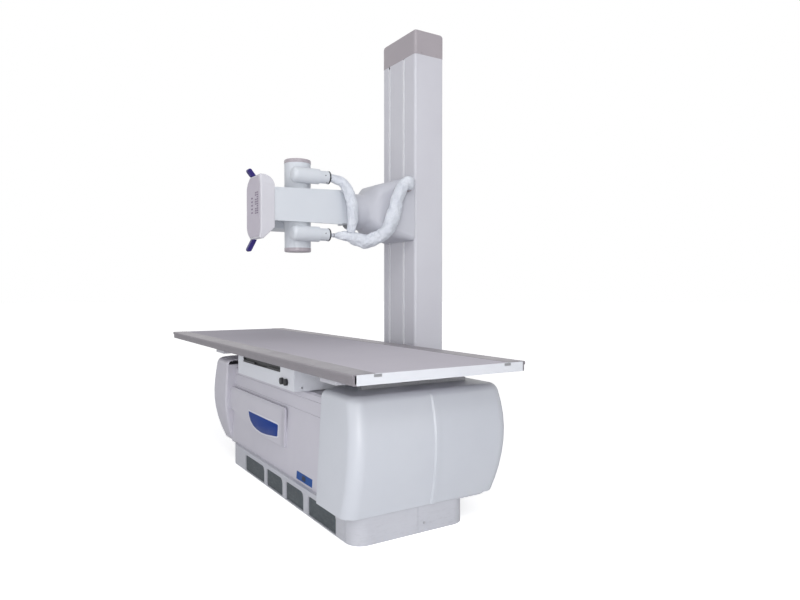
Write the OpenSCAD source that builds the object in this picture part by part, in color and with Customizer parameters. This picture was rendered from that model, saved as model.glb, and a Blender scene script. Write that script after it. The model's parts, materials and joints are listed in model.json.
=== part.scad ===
// Bucky table with a floor-rail tube stand, tube head turned for a horizontal beam.
// X runs along the tabletop, the operator stands on the -Y side, the floor is z = 0.

/* [Tabletop] */
// Length of the floating tabletop
top_l = 2400; // [2000:10:2600]
// Width over both side rails
top_w = 740; // [700:5:780]
// Height of the tabletop's surface above the floor
top_h = 608; // [604:1:640]
// Width of each aluminium side rail
rail_w = 85; // [60:1:110]
// Height of each side rail
rail_h = 38; // [34:1:42]
// Thickness of the flat patient panel
panel_t = 16; // [10:1:22]

/* [Base covers] */
// Left end of the base covers at their widest
base_x0 = -560; // [-590:5:-520]
// Right end of the base covers at their widest
base_x1 = 1117; // [1090:1:1160]
// Front of the end covers at their foot
base_y0 = -337; // [-342:1:-330]
// Rear of the covers at their widest
base_y1 = 365; // [350:1:380]
// Height of the seam between covers and floor skirt
seam_z = 98; // [80:1:120]
// Left side of the recess for the bucky
recess_x0 = -278; // [-300:1:-262]
// Right side of the recess for the bucky
recess_x1 = 850; // [835:1:862]
// Wall of the moulded covers
cover_t = 4; // [3:0.5:5]

/* [Floor skirt] */
// Left end of the skirt
skirt_x0 = -225; // [-240:1:-210]
// Right end of the skirt
skirt_x1 = 1082; // [1070:1:1090]
// Front face of the skirt
skirt_y0 = -303; // [-306:1:-296]
// Rear face of the skirt
skirt_y1 = 180; // [160:1:220]

/* [Bucky] */
// Left end of the bucky housing
bucky_x0 = -40; // [-60:1:0]
// Width of the bucky housing
bucky_w = 682; // [640:1:690]
// Front face of the bucky housing
bucky_y0 = -330; // [-340:1:-320]
// Depth of the bucky housing
bucky_d = 500; // [480:1:510]
// Height of the bucky housing
bucky_h = 92; // [88:1:93]
// Width of the cassette slot
slot_w = 464; // [430:1:480]
// Height of the cassette slot
slot_h = 22; // [21:1:23]

/* [Column] */
// Centre of the column along the rail
col_x = 80; // [40:5:120]
// Face of the column towards the table
col_y0 = 510; // [510:1:530]
// Width of the column
col_w = 318; // [300:1:330]
// Depth of the column
col_d = 180; // [170:1:190]
// Wall of the column
col_t = 8; // [6:0.5:10]
// Height where the column's cap starts
cap_z = 2090; // [2070:5:2110]
// Height of the cap
cap_h = 125; // [120:1:140]
// Width of the two guide slots in the column's face
slit_w = 12; // [10:1:14]
// Length of the floor rail
floor_rail_l = 2140; // [2000:10:2160]
// Height of the floor rail
floor_rail_h = 40; // [36:1:42]

/* [Tube head] */
// Height of the arm's axis above the floor
axis_z = 1281; // [1240:1:1300]
// Centre of the tube housing across the table
tube_y = -72; // [-80:1:-60]
// Diameter of the tube housing
tube_d = 127; // [122:1:131]
// Length of the tube housing without its caps
tube_l = 408; // [400:1:420]
// Diameter of the cable receptacles
horn_d = 73; // [68:1:76]
// Distance of each receptacle from the arm's axis
horn_z = 138.5; // [136:0.5:142]
// Outer size of the square collimator
coll_w = 200; // [190:1:204]
// Length of the operator console
console_l = 298; // [280:1:310]

/* [Hidden] */
$fn = 48;
run = 0.3;
plate = 3;
head_x = col_x + 2;
rail_z0 = top_h - rail_h;
end_cap_t = 4;
base_mid_y = 30;
// Heights of the base follow the tabletop's surface.
cover_top = top_h - 96;
bucky_z0 = top_h - 134;
front_top_z = top_h - 138;
ring_z1 = bucky_z0 - 34;
ring_z0 = ring_z1 - 29;
top_fillet = 25;
corner_r = 52;
left_corner_r = 110;
left_foot = 50;
edge_r = 6;
left_edge_r = 12;
rib_h = 5;
panel_set = 55;
front_lean = 24;
col_x0 = col_x - col_w / 2;
col_x1 = col_x + col_w / 2;
col_y1 = col_y0 + col_d;
rail_cy = col_y0 + col_d / 2;
frame_top = cover_top - cover_t;
slot_x0 = bucky_x0 + 72;
slot_z0 = bucky_z0 + 64;
bucky_x1 = bucky_x0 + bucky_w;
bucky_y1 = bucky_y0 + bucky_d;
bucky_top = bucky_z0 + bucky_h;
tray_gap = 2;
wheel_r = 24;
axle_r = 9;
trolley_z = 104;
slit_xs = [col_x - 90, col_x + 52];
pulley_r = 42;
rope_r = 3;
rope_front_y = col_y0 + 42;
rope_rear_y = rope_front_y + 2 * (pulley_r + rope_r);
pulley_y = (rope_front_y + rope_rear_y) / 2;
pulley_z = cap_z + 48;
inner_top_z = axis_z + 160;
weight_z0 = 720;
weight_h = 560;
arm_back_y = col_y0 - 1;
arm_front_y = 206;
web_x = head_x + tube_d / 2 + 2;
web_t = 8;
head_low = 82;
head_high_front = 73;
head_high_back = 85.5;
yoke_back_y = 190;
yoke_front_y = -220;
coll_x1 = -45;
coll_x0 = -215;
console_y1 = yoke_front_y;
console_y0 = console_y1 - 69;
console_x0 = head_x - 114;
console_x1 = head_x + 82;
console_z = axis_z - 19;
horn_x = head_x + 82;
plug_y0 = 0;
plug_y1 = 47;
nut_y1 = 55;
gland_r = 18;
gland_l = 12;

plastic = [0.76, 0.75, 0.8];
plastic_light = [0.84, 0.85, 0.89];
plastic_dark = [0.66, 0.64, 0.68];
aluminium = [0.6, 0.59, 0.6];
steel = [0.55, 0.56, 0.58];
toe_grey = [0.31, 0.35, 0.37];
black = [0.06, 0.06, 0.07];
indigo = [0.16, 0.12, 0.42];
badge_blue = [0.08, 0.2, 0.55];

// ---------- shared shapes ----------

// A box from its low corner to its high corner.
module box(low, high) {
    translate(low) cube(high - low);
}

module rod_x(r, x0, x1, y, z) {
    translate([x0, y, z]) rotate([0, 90, 0]) cylinder(r = r, h = x1 - x0);
}

module rod_y(r, x, y0, y1, z) {
    translate([x, y1, z]) rotate([90, 0, 0]) cylinder(r = r, h = y1 - y0);
}

module rod_z(r, x, y, z0, z1) {
    translate([x, y, z0]) cylinder(r = r, h = z1 - z0);
}

// A rectangle with round corners, from its low to its high corner.
module round_rect(low, high, r) {
    translate([low[0] + r, low[1]]) square([high[0] - low[0] - 2 * r, high[1] - low[1]]);
    translate([low[0], low[1] + r]) square([high[0] - low[0], high[1] - low[1] - 2 * r]);
    for (x = [low[0] + r, high[0] - r], y = [low[1] + r, high[1] - r])
        translate([x, y]) circle(r = r);
}

// Extrudes an outline drawn in (y, z) along X.
module along_x(x0, x1) {
    translate([x0, 0, 0]) rotate([90, 0, 90]) linear_extrude(x1 - x0) children();
}

// Extrudes an outline drawn in (x, z) along Y.
module along_y(y0, y1) {
    translate([0, y1, 0]) rotate([90, 0, 0]) linear_extrude(y1 - y0) children();
}

// A pan-head screw whose head faces the given direction.
module screw_x(x, y, z, side = 1) {
    rod_x(4, side > 0 ? x : x - 2.5, side > 0 ? x + 2.5 : x, y, z);
}

// ---------- the covers' curved walls ----------

// How far each side leans in from its widest place, u = 0 at the seam, 1 at the top.
function barrel(u, peak, foot, head) =
    u < peak ? foot * pow((peak - u) / peak, 2) : head * pow((u - peak) / (1 - peak), 2);
function right_in(u) = barrel(u, 0.55, 32, 36);
function left_in(u) = barrel(u, 0.6, 85, 42);
function rear_in(u) = barrel(u, 0.6, 42, 14);
function front_in(u) = front_lean * u;
function front_set(sx, u) = front_in(u) + (sx < 0 ? barrel(min(u, 0.6), 0.6, left_foot, 0) : 0);
function height_share(z) = (z - seam_z) / (cover_top - seam_z);

wall_rows = 8;
fillet_rows = 4;
cover_rows = wall_rows + fillet_rows + 1;
wall_top = cover_top - top_fillet;

// How far an end cover's flat top reaches in from its edges, short of the recess.
function top_reach(sx) =
    (sx > 0 ? base_x1 - recess_x1 - right_in(1) : recess_x0 - base_x0 - left_in(1)) - top_fillet - 30;

// Row j of a cover: [height share, extra inset, z, share of the wall that lies across].
function row(j, sx) =
    j <= wall_rows
        ? let (z = seam_z + (wall_top - seam_z) * j / wall_rows) [height_share(z), 0, z, 1, 0]
    : j <= wall_rows + fillet_rows
        ? let (a = 90 * (j - wall_rows) / fillet_rows,
               z = wall_top + top_fillet * sin(a))
          [height_share(z), top_fillet * (1 - cos(a)), z, cos(a), sin(a)]
    : [1, top_fillet + top_reach(sx), cover_top, 0, 1];

// The plan of one end cover at one height: from the recess round the corner to the middle.
function plan(sx, sy, j, rib) =
    let (r = row(j, sx),
         ix = (sx > 0 ? right_in(r[0]) : left_in(r[0])) + r[1],
         iy = (sy > 0 ? rear_in(r[0]) : front_set(sx, r[0])) + r[1],
         xe = sx > 0 ? base_x1 - ix : base_x0 + ix,
         ye = sy > 0 ? base_y1 - iy : base_y0 + iy,
         xs = sx > 0 ? recess_x1 : recess_x0,
         cr = max((sx > 0 ? corner_r : left_corner_r) - r[1], 8),
         edge = sx > 0 ? edge_r : left_edge_r,
         corner = [for (k = [0:7]) let (a = 90 * k / 7)
             [xe - sx * cr * (1 - sin(a)), ye - sy * cr * (1 - cos(a))]],
         ym = base_mid_y,
         ridge = rib
             ? [[xe, ym + sy * 22], [xe + sx * rib_h, ym + sy * 16], [xe + sx * rib_h, ym]]
             : [[xe, ym + sy * 22], [xe, ym + sy * 16], [xe, ym]])
    concat([[xs, ye - sy * edge], [xs + sx * edge * 0.3, ye - sy * edge * 0.3],
            [xs + sx * edge, ye]], corner, ridge);

// Moves an open line sideways by d, mitred at its points.
function unit(v) = v / norm(v);
function side_of(p, q) = let (v = unit(q - p)) [-v[1], v[0]];
function shifted(p, d) =
    let (n = len(p) - 1)
    [for (i = [0:n])
        let (a = side_of(p[max(i - 1, 0)], p[max(i, 1)]),
             b = side_of(p[min(i, n - 1)], p[min(i + 1, n)]),
             m = unit(a + b))
        p[i] + m * d / (m * a)];

// A closed wall between an outer and an inner grid of points.
module sheet(outer, inner, flip) {
    rows = len(outer);
    cols = len(outer[0]);
    n = rows * cols;
    points = concat([for (r = outer, p = r) p], [for (r = inner, p = r) p]);
    function at(j, k) = j * cols + k;
    skins = [for (j = [0:rows - 2], k = [0:cols - 2])
        each [[at(j, k), at(j, k + 1), at(j + 1, k + 1)], [at(j, k), at(j + 1, k + 1), at(j + 1, k)],
              [n + at(j, k), n + at(j + 1, k + 1), n + at(j, k + 1)],
              [n + at(j, k), n + at(j + 1, k), n + at(j + 1, k + 1)]]];
    ends = [for (j = [0:rows - 2], k = [0, cols - 1])
        let (a = at(j, k), b = at(j + 1, k), s = k == 0)
        each (s ? [[a, b, n + b], [a, n + b, n + a]] : [[a, n + b, b], [a, n + a, n + b]])];
    rims = [for (k = [0:cols - 2], j = [0, rows - 1])
        let (a = at(j, k), b = at(j, k + 1), s = j == 0)
        each (s ? [[a, n + b, b], [a, n + a, n + b]] : [[a, b, n + b], [a, n + b, n + a]])];
    faces = [for (f = concat(skins, ends, rims)) flip ? [f[2], f[1], f[0]] : f];
    polyhedron(points, faces, convexity = 6);
}

// One quarter of the base's end covers, with the flange that steps back to the panel.
module end_cover(sx, sy, rib) {
    flip = sx * sy < 0;
    outer = [for (j = [0:cover_rows]) let (r = row(j, sx)) [for (p = plan(sx, sy, j, rib)) [p[0], p[1], r[2]]]];
    inner = [for (j = [0:cover_rows])
        let (r = row(j, sx))
        [for (p = shifted(plan(sx, sy, j, rib), -sx * sy * cover_t * r[3]))
            [p[0], p[1], r[2] - cover_t * r[4]]]];
    sheet(outer, inner, flip);
    if (sy < 0)
        step_flange(sx);
}

// The side wall between an end cover's front and the set-back front panel.
module step_flange(sx) {
    x0 = sx > 0 ? recess_x1 : recess_x0 - cover_t;
    back = (sx > 0 ? edge_r : left_edge_r) - 0.4;
    zs = [for (j = [0:wall_rows]) wall_top + (seam_z - wall_top) * j / wall_rows];
    along_x(x0, x0 + cover_t)
        polygon(concat([[base_y0 + panel_set + left_edge_r, seam_z],
                        [front_y(wall_top) + panel_set + left_edge_r, wall_top]],
                       [for (z = zs) [base_y0 + front_set(sx, height_share(z)) + back, z]]));
}

function front_y(z) = base_y0 + front_in(height_share(z));
function panel_y(z) = front_y(z) + panel_set - 5;
function rear_y(z) = base_y1 - rear_in(height_share(z));

// ---------- table base ----------

module base_frame() {
    color(steel) {
        box([skirt_x0 + 30, skirt_y0 + 33, 0], [skirt_x1 - 32, skirt_y1 - 30, 10]);
        // Tie bars to the floor rail, bolted on.
        for (x = tie_xs)
            box([x, skirt_y1 - 29.7, 0], [x + tie_w, rail_cy - 60, 8]);
        for (x = [recess_x0 + 90, recess_x1 - 40])
            box([x, -120, 10], [x + 110, 120, ring_z0 + 1]);
        difference() {
            box([recess_x0 - 8, -200, ring_z0], [recess_x1 + 8, 230, ring_z1]);
            box([recess_x0 + 60, -160, ring_z0 - 1], [recess_x1 - 60, 190, ring_z1 + 1]);
        }
        top_box(recess_x1 + 5, recess_x1 + 190);
        top_box(recess_x0 - 115, recess_x0 - 5);
        // Angles that carry the front and rear covers.
        for (x = [-150, 640]) {
            box([x, -272, 10], [x + 60, -262, 200]);
            box([x, -272, 0], [x + 60, -200, 10]);
        }
    }
}

// The folded steel box under an end cover's top.
module top_box(x0, x1) {
    difference() {
        box([x0, -200, ring_z1], [x1, 260, frame_top]);
        box([x0 + plate, -200 + plate, ring_z1 - 1], [x1 - plate, 260 - plate, frame_top - plate]);
    }
}

// The skirt carries the covers on its top edge and stands on the floor.
module floor_skirt() {
    color(plastic) difference() {
        union() {
            linear_extrude(seam_z) difference() {
                round_rect([skirt_x0, skirt_y0], [skirt_x1, skirt_y1], 60);
                round_rect([skirt_x0 + 5, skirt_y0 + 5], [skirt_x1 - 5, skirt_y1 - 5], 55);
            }
            // Ledges under the overhanging covers.
            translate([0, 0, seam_z - 6]) linear_extrude(6) difference() {
                union() {
                    round_rect([base_x0 + 105, skirt_y0 + left_foot], [skirt_x1, base_y1 - 70], 60);
                    round_rect([skirt_x0, skirt_y0], [skirt_x1, base_y1 - 70], 60);
                }
                round_rect([skirt_x0 + 5, skirt_y0 + 5], [skirt_x1 - 5, skirt_y1 - 5], 55);
            }
            toe_frames();
            // The ledge that closes the joint below the front panel.
            box([skirt_x0 + 40, skirt_y0 + 4, seam_z - 6], [recess_x1 - 1, panel_y(seam_z) + 8, seam_z]);
            box([recess_x0 + 1, panel_y(seam_z), seam_z - 6], [skirt_x0 + 45, panel_y(seam_z) + 8, seam_z]);
        }
        // Joints between the skirt's corner pieces.
        box([skirt_x1 - 62, skirt_y0 - 1, -1], [skirt_x1 - 60, skirt_y0 + 1.2, seam_z + 1]);
        box([skirt_x1 - 1.2, -43, -1], [skirt_x1 + 1, -41, seam_z + 1]);
        for (i = [0:len(toe_xs) - 1])
            along_y(skirt_y0 - 1, skirt_y0 + 9) toe_outline(i);
        for (x = tie_xs)
            box([x - 1, skirt_y1 - 20, -1], [x + tie_w + 1, skirt_y1 + 1, 9]);
    }
}

// Left and right side of each kick panel, the outer two longer.
toe_xs = [[-22, 234], [262, 449], [484, 664], [707, 947]];
toe_z0 = 4;

// Outline of kick panel i in (x, z), with its two upper corners rounded.
module toe_outline(i) {
    x0 = toe_xs[i][0];
    x1 = toe_xs[i][1];
    z1 = seam_z - 19;
    polygon([[x0, toe_z0], [x1, toe_z0], [x1, z1 - 20], [x1 - 6, z1 - 6], [x1 - 20, z1],
             [x0 + 12, z1], [x0 + 4, z1 - 4], [x0, z1 - 12]]);
}

// Thickens the skirt behind the panels so that they sit in pockets.
module toe_frames() {
    box([toe_xs[0][0] - 20, skirt_y0 + 4, 0], [toe_xs[3][1] + 20, skirt_y0 + 14, seam_z - 6]);
}

module toe_panels() {
    color(toe_grey) for (i = [0:len(toe_xs) - 1])
        along_y(skirt_y0 + 5, skirt_y0 + 9) toe_outline(i);
}

// The set-back front panel with its two grooves and the raised field for the badge.
module front_cover() {
    color(plastic) difference() {
        union() {
            along_x(recess_x0 + 0.2, recess_x1 - 0.2)
                polygon([[panel_y(seam_z), seam_z], [panel_y(front_top_z - 8), front_top_z - 8],
                         [panel_y(front_top_z) + 8, front_top_z], [-205, front_top_z],
                         [-205, front_top_z - cover_t], [panel_y(front_top_z) + 10, front_top_z - cover_t],
                         [panel_y(front_top_z) + cover_t, front_top_z - 10],
                         [panel_y(seam_z) + cover_t, seam_z]]);
            pod();
        }
        for (z = [front_top_z - 30, front_top_z - 84])
            along_x(recess_x0 - 1, recess_x1 + 1)
                polygon([[panel_y(z) - 20, z + 4], [panel_y(z) - 20, z - 4],
                         [panel_y(z) + 2.2, z - 1.6], [panel_y(z) + 2.2, z + 1.6]]);
        badge_pocket(8);
        label_pocket();
    }
}

pod_x1 = 436;
pod_top = front_top_z - 96;

// Lower edge of the raised field, a long sweep from the left cover to the right ridge.
function pod_low(x) = let (u = (x - recess_x0) / (pod_x1 - recess_x0)) 262 - 150 * u + 95 * u * u;

module pod_outline(d) {
    steps = 14;
    polygon(concat([[recess_x0 + 0.2, pod_top - d], [pod_x1 - d - 8, pod_top - d],
                    [pod_x1 - d, pod_top - d - 14]],
        [for (i = [0:steps]) let (x = pod_x1 - d + (recess_x0 + 0.2 - pod_x1 + d) * i / steps)
            [x, pod_low(x) + d]]));
}

// The field stands proud of the panel and follows its lean.
module pod() {
    intersection() {
        union() {
            along_y(base_y0 - 10, base_y0 + 60) pod_outline(14);
            along_y(base_y0 - 10, base_y0 + 60) pod_outline(0);
        }
        pod_slab(0, 14, 22);
    }
    intersection() {
        along_y(base_y0 - 10, base_y0 + 60) pod_outline(7);
        pod_slab(0, 19, 22);
    }
    intersection() {
        along_y(base_y0 - 10, base_y0 + 60) pod_outline(14);
        pod_slab(0, 22, 22);
    }
}

module pod_slab(shift, proud, deep) {
    along_x(recess_x0, pod_x1)
        polygon([[panel_y(seam_z) - proud, seam_z], [panel_y(front_top_z) - proud, front_top_z],
                 [panel_y(front_top_z) + 2, front_top_z], [panel_y(seam_z) + 2, seam_z]]);
}

badge_x0 = 2;
badge_x1 = 396;
badge_z0 = 219;
badge_z1 = 301;

module badge_outline(d) {
    polygon([[badge_x0 + 3 + d, badge_z1 - d], [badge_x1 - 14 - d, badge_z1 + 2 - d],
             [badge_x1 - 5 - d, badge_z1 - 1 - d], [badge_x1 - d, badge_z1 - 8 - d],
             [badge_x1 - d, badge_z0 + 30 + d], [badge_x1 - 4 - d, badge_z0 + 22 + d],
             [badge_x1 - 16 - d, badge_z0 + 17 + d],
             [badge_x0 + 260, badge_z0 + 3 + d], [badge_x0 + 190, badge_z0 - 1 + d],
             [badge_x0 + 130, badge_z0 + 3 + d], [badge_x0 + 80, badge_z0 + 12 + d],
             [badge_x0 + 44 + d, badge_z0 + 26 + d], [badge_x0 + 18 + d, badge_z0 + 46 + d],
             [badge_x0 + 3 + d, badge_z0 + 70 + d], [badge_x0 + d, badge_z1 - 5 - d]]);
}

function badge_y(z) = panel_y(z) - 22;

module leaning(x0, x1, z0, z1, front, back) {
    along_x(x0, x1)
        polygon([[badge_y(z0) + front, z0], [badge_y(z1) + front, z1],
                 [badge_y(z1) + back, z1], [badge_y(z0) + back, z0]]);
}

module badge_pocket(deep) {
    intersection() {
        along_y(base_y0 - 20, base_y0 + 80) badge_outline(0);
        leaning(badge_x0 - 5, badge_x1 + 5, badge_z0 - 5, badge_z1 + 5, -10, 2);
    }
}

module badge_plate() {
    color(badge_blue) intersection() {
        along_y(base_y0 - 20, base_y0 + 80) badge_outline(0.3);
        leaning(badge_x0 - 5, badge_x1 + 5, badge_z0 - 5, badge_z1 + 5, -0.5, 2);
    }
}

label_x0 = 558;
label_x1 = 710;
label_z0 = 106;
label_z1 = 138;

module label_shape(front, back, d) {
    along_x(label_x0 + d, label_x1 - d)
        polygon([[panel_y(label_z0 + d) + front, label_z0 + d], [panel_y(label_z1 - d) + front, label_z1 - d],
                 [panel_y(label_z1 - d) + back, label_z1 - d], [panel_y(label_z0 + d) + back, label_z0 + d]]);
}

module label_pocket() {
    label_shape(-5, 1.5, 0);
}

module label_plate() {
    color(badge_blue) label_shape(-0.5, 1.3, 0.3);
}

module rear_cover() {
    steps = 10;
    zs = [for (i = [0:steps]) seam_z + (front_top_z - 6 - seam_z) * i / steps];
    color(plastic) along_x(recess_x0 + 0.2, recess_x1 - 0.2)
        polygon(concat([for (z = zs) [rear_y(z), z]],
            [[rear_y(front_top_z) - 6, front_top_z], [230, front_top_z], [230, front_top_z - cover_t],
             [rear_y(front_top_z) - 10, front_top_z - cover_t]],
            [for (i = [0:steps]) let (z = zs[steps - i]) [rear_y(z) - cover_t, z]]));
}

module right_front_cover() {
    color(plastic_light) end_cover(1, -1, true);
}

module right_rear_cover() {
    color(plastic_light) end_cover(1, 1, false);
}

module left_front_cover() {
    color(plastic) end_cover(-1, -1, false);
}

module left_rear_cover() {
    color(plastic) end_cover(-1, 1, false);
}

// Two flat rails across the recess, on the frame's ring.
module bucky_rails() {
    color(steel) for (y = [-180, 200])
        box([recess_x0 + 6, y - 12, ring_z1], [recess_x1 - 6, y + 12, bucky_z0 - run]);
}

cross_rail_x = [recess_x0 - 76, recess_x1 + 76];
cross_rail_h = 12;

// Rails that let the carriage float across the table.
module cross_rails() {
    color("silver") for (x = cross_rail_x)
        difference() {
            box([x - 15, -195, cover_top], [x + 15, 285, cover_top + cross_rail_h]);
            for (y = [-165, 45, 255])
                rod_z(4, x, y, cover_top + 4, cover_top + cross_rail_h + 1);
        }
}

module cover_screws() {
    color("silver") {
        for (z = [34]) screw_x(skirt_x1, base_mid_y - 45, z);
        for (z = [34]) screw_x(skirt_x0, base_mid_y - 45, z, -1);
        for (x = [recess_x0 + 90, recess_x1 - 90])
            rod_z(4, x, -222, front_top_z, front_top_z + 2);
    }
}

// ---------- floor rail ----------

floor_rail_x1 = 640;
floor_rail_x0 = floor_rail_x1 - floor_rail_l;
tie_xs = [-200, 500];
tie_w = 60;

module floor_rail() {
    color(aluminium) difference() {
        along_x(floor_rail_x0, floor_rail_x1)
            polygon([[rail_cy - 80, 0], [rail_cy + 80, 0], [rail_cy + 80, 8], [rail_cy + 70, floor_rail_h],
                     [rail_cy + 30, floor_rail_h], [rail_cy + 26, 12], [rail_cy - 26, 12],
                     [rail_cy - 30, floor_rail_h], [rail_cy - 70, floor_rail_h], [rail_cy - 80, 8]]);
        for (i = [0:8])
            rod_z(6, floor_rail_x0 + 120 + i * (floor_rail_l - 240) / 8, rail_cy, -1, 13);
        for (x = tie_xs)
            box([x - 0.3, rail_cy - 81, -1], [x + tie_w + 0.3, rail_cy - 60, 8]);
    }
}

module rail_stops() {
    color(black) for (x = [floor_rail_x0 + 20, floor_rail_x1 - 60])
        box([x, rail_cy - 24, 12], [x + 40, rail_cy + 24, 62]);
}

// ---------- floating top ----------

pad_h = 9.7;
carriage_z0 = cover_top + cross_rail_h + run;
carriage_z1 = rail_z0 - run - pad_h;
carriage_y = 325;
beam_h = 16;

// A welded U of folded sheet: a cross beam at each end and one tie behind the bucky.
module cross_carriage() {
    color(steel) {
        for (x = [[recess_x0 - 140, recess_x0 - 12], [recess_x1 + 12, recess_x1 + 140]])
            difference() {
                box([x[0], -carriage_y, carriage_z1 - beam_h], [x[1], carriage_y, carriage_z1]);
                box([x[0] + plate, -carriage_y + plate, carriage_z1 - beam_h - 1],
                    [x[1] - plate, carriage_y - plate, carriage_z1 - plate]);
            }
        box([recess_x0 - 13, 296, carriage_z1 - beam_h], [recess_x1 + 13, 322, carriage_z1]);
        // Runners that ride the cross rails.
        for (x = cross_rail_x, y = [-90, 110])
            difference() {
                box([x - 24, y, carriage_z0], [x + 24, y + 60, carriage_z1 - plate]);
                box([x - 15.3, y - 1, carriage_z0 - 1], [x + 15.3, y + 61, carriage_z0 + 2]);
            }
    }
}

// Black pads under the tabletop's side rails.
module guide_pads() {
    color(black) for (x = [recess_x0 - 101, recess_x1 + 51], y = [-320, 262])
        box([x, y, carriage_z1], [x + 50, y + 58, carriage_z1 + pad_h]);
}

panel_y0 = top_w / 2 - rail_w;
panel_len = top_l - 2 * end_cap_t;

module tabletop_panel() {
    color(plastic_light)
        box([-panel_len / 2, -panel_y0, top_h - panel_t], [panel_len / 2, panel_y0, top_h - 1]);
}

// Section of the front side rail in (y, z), with its outer accessory lip.
module rail_section() {
    y0 = -top_w / 2;
    y1 = -panel_y0;
    difference() {
        union() {
            polygon([[y0 + 7, rail_z0], [y1, rail_z0], [y1, top_h - panel_t - 3],
                     [y1 + 20, top_h - panel_t - 3], [y1 + 20, top_h - panel_t],
                     [y1, top_h - panel_t], [y1, top_h], [y0 + 5, top_h], [y0 + 5, rail_z0 + 2]]);
            translate([y0 + 5, top_h - 5]) circle(r = 5);
            translate([y0, top_h - 14]) square([6, 9]);
        }
        polygon([[y0 + 10, rail_z0 + 7], [y1 - 4, rail_z0 + 7], [y1 - 4, top_h - 5], [y0 + 10, top_h - 5]]);
        translate([y0 - 1, top_h - 22]) square([5, 7]);
    }
}

module front_rail() {
    color(aluminium) along_x(-panel_len / 2, panel_len / 2) rail_section();
}

module rear_rail() {
    color(aluminium) mirror([0, 1, 0]) along_x(-panel_len / 2, panel_len / 2) rail_section();
}

module end_cap(x0) {
    color("white") along_x(x0, x0 + end_cap_t)
        round_rect([-top_w / 2 + 15, rail_z0 + 1], [top_w / 2 - 15, top_h - 1.5], 3);
}

module right_end_cap() {
    end_cap(panel_len / 2);
}

module left_end_cap() {
    end_cap(-panel_len / 2 - end_cap_t);
}

// Grey spring clips that hook the end caps.
module clip_tabs() {
    color(aluminium) for (s = [-1, 1], y = [-panel_y0 - 8, panel_y0 - 22])
        box([s > 0 ? top_l / 2 : -top_l / 2 - 1.5, y, top_h - 12],
            [s > 0 ? top_l / 2 + 1.5 : -top_l / 2, y + 30, top_h - 2.5]);
}

// ---------- bucky ----------

module bucky_housing() {
    color(plastic_light) difference() {
        box([bucky_x0, bucky_y0, bucky_z0], [bucky_x1, bucky_y1, bucky_top - plate]);
        box([bucky_x0 + plate, bucky_y0 + plate, bucky_z0 + plate],
            [bucky_x1 - plate, bucky_y1 - plate, bucky_top]);
        box([slot_x0, bucky_y0 - 1, slot_z0 - 2.3],
            [slot_x0 + slot_w, bucky_y0 + plate + 1, slot_z0 + slot_h]);
        for (x = knob_xs)
            rod_y(4.05, x, bucky_y0 - 1, bucky_y0 + plate + 1, knob_z);
    }
    // Two runners that carry the tray.
    color(steel) for (x = [slot_x0 - 10, slot_x0 + slot_w - 2])
        difference() {
            box([x, bucky_y0 + plate, slot_z0 - 8], [x + 12, bucky_y1 - plate, slot_z0 + 8]);
            box([slot_x0 - 0.3, bucky_y0, slot_z0 - 0.3],
                [slot_x0 + slot_w + 0.3, bucky_y1, slot_z0 + 9]);
            box([slot_x0 + tray_gap - 0.3, bucky_y0, slot_z0 - 2.3],
                [slot_x0 + slot_w - tray_gap + 0.3, bucky_y1, slot_z0]);
        }
    // Posts that tie the runners to the floor of the housing.
    color(steel) for (x = [slot_x0 - 10, slot_x0 + slot_w + 4], y = [bucky_y0 + 60, bucky_y1 - 80])
        box([x, y, bucky_z0 + plate - 0.01], [x + 6, y + 20, slot_z0 - 7.9]);
}

module grid_plate() {
    color(plastic_light)
        box([bucky_x0, bucky_y0, bucky_top - plate], [bucky_x1, bucky_y1, bucky_top]);
}

module bucky_screws() {
    color("silver") {
        for (y = [bucky_y0 + 32, bucky_y1 - 40], s = [-1, 1])
            screw_x(s > 0 ? bucky_x1 : bucky_x0, y, bucky_z0 + 14, s);
    }
}

// The tray that carries a film cassette, with its dark front bar.
module cassette_tray() {
    x0 = slot_x0 + tray_gap;
    x1 = slot_x0 + slot_w - tray_gap;
    y0 = bucky_y0 + 1;
    y1 = bucky_y0 + 440;
    color(black) {
        difference() {
            box([x0, y0, slot_z0 - 2], [x1, y1, slot_z0 + 8]);
            box([x0 + 8, y0 + 14, slot_z0], [x1 - 8, y1 - 8, slot_z0 + 9]);
            box([x0 + 150, y0 - 1, slot_z0 + 1], [x1 - 150, y0 + 8, slot_z0 + 9]);
        }
        box([x0 + 4, y0 + 8, slot_z0 + 2], [x1 - 4, y0 + 13, slot_z0 + slot_h - 3]);
    }
}

knob_xs = [bucky_x1 - 119, bucky_x1 - 76];
knob_z = bucky_z0 + 30;

// A small turn knob whose cam clamps the bucky to its rail.
module lock_knob(x) {
    color(black) {
        difference() {
            rod_y(14, x, bucky_y0 - 11, bucky_y0 - run, knob_z);
            box([x - 1, bucky_y0 - 12, knob_z + 3], [x + 1, bucky_y0 - 10, knob_z + 15]);
        }
        rod_y(4, x, bucky_y0 - 1, bucky_y0 + 20, knob_z);
        rod_y(8, x, bucky_y0 + plate + run, bucky_y0 + 20, knob_z);
    }
}

module left_lock_knob() {
    lock_knob(knob_xs[0]);
}

module right_lock_knob() {
    lock_knob(knob_xs[1]);
}

// ---------- column on its trolley ----------

trolley_l = 520;
wheel_x = [col_x - trolley_l / 2 + 70, col_x + trolley_l / 2 - 70];
wheel_z = floor_rail_h + wheel_r + 0.02;
wheel_y = 50;

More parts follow.
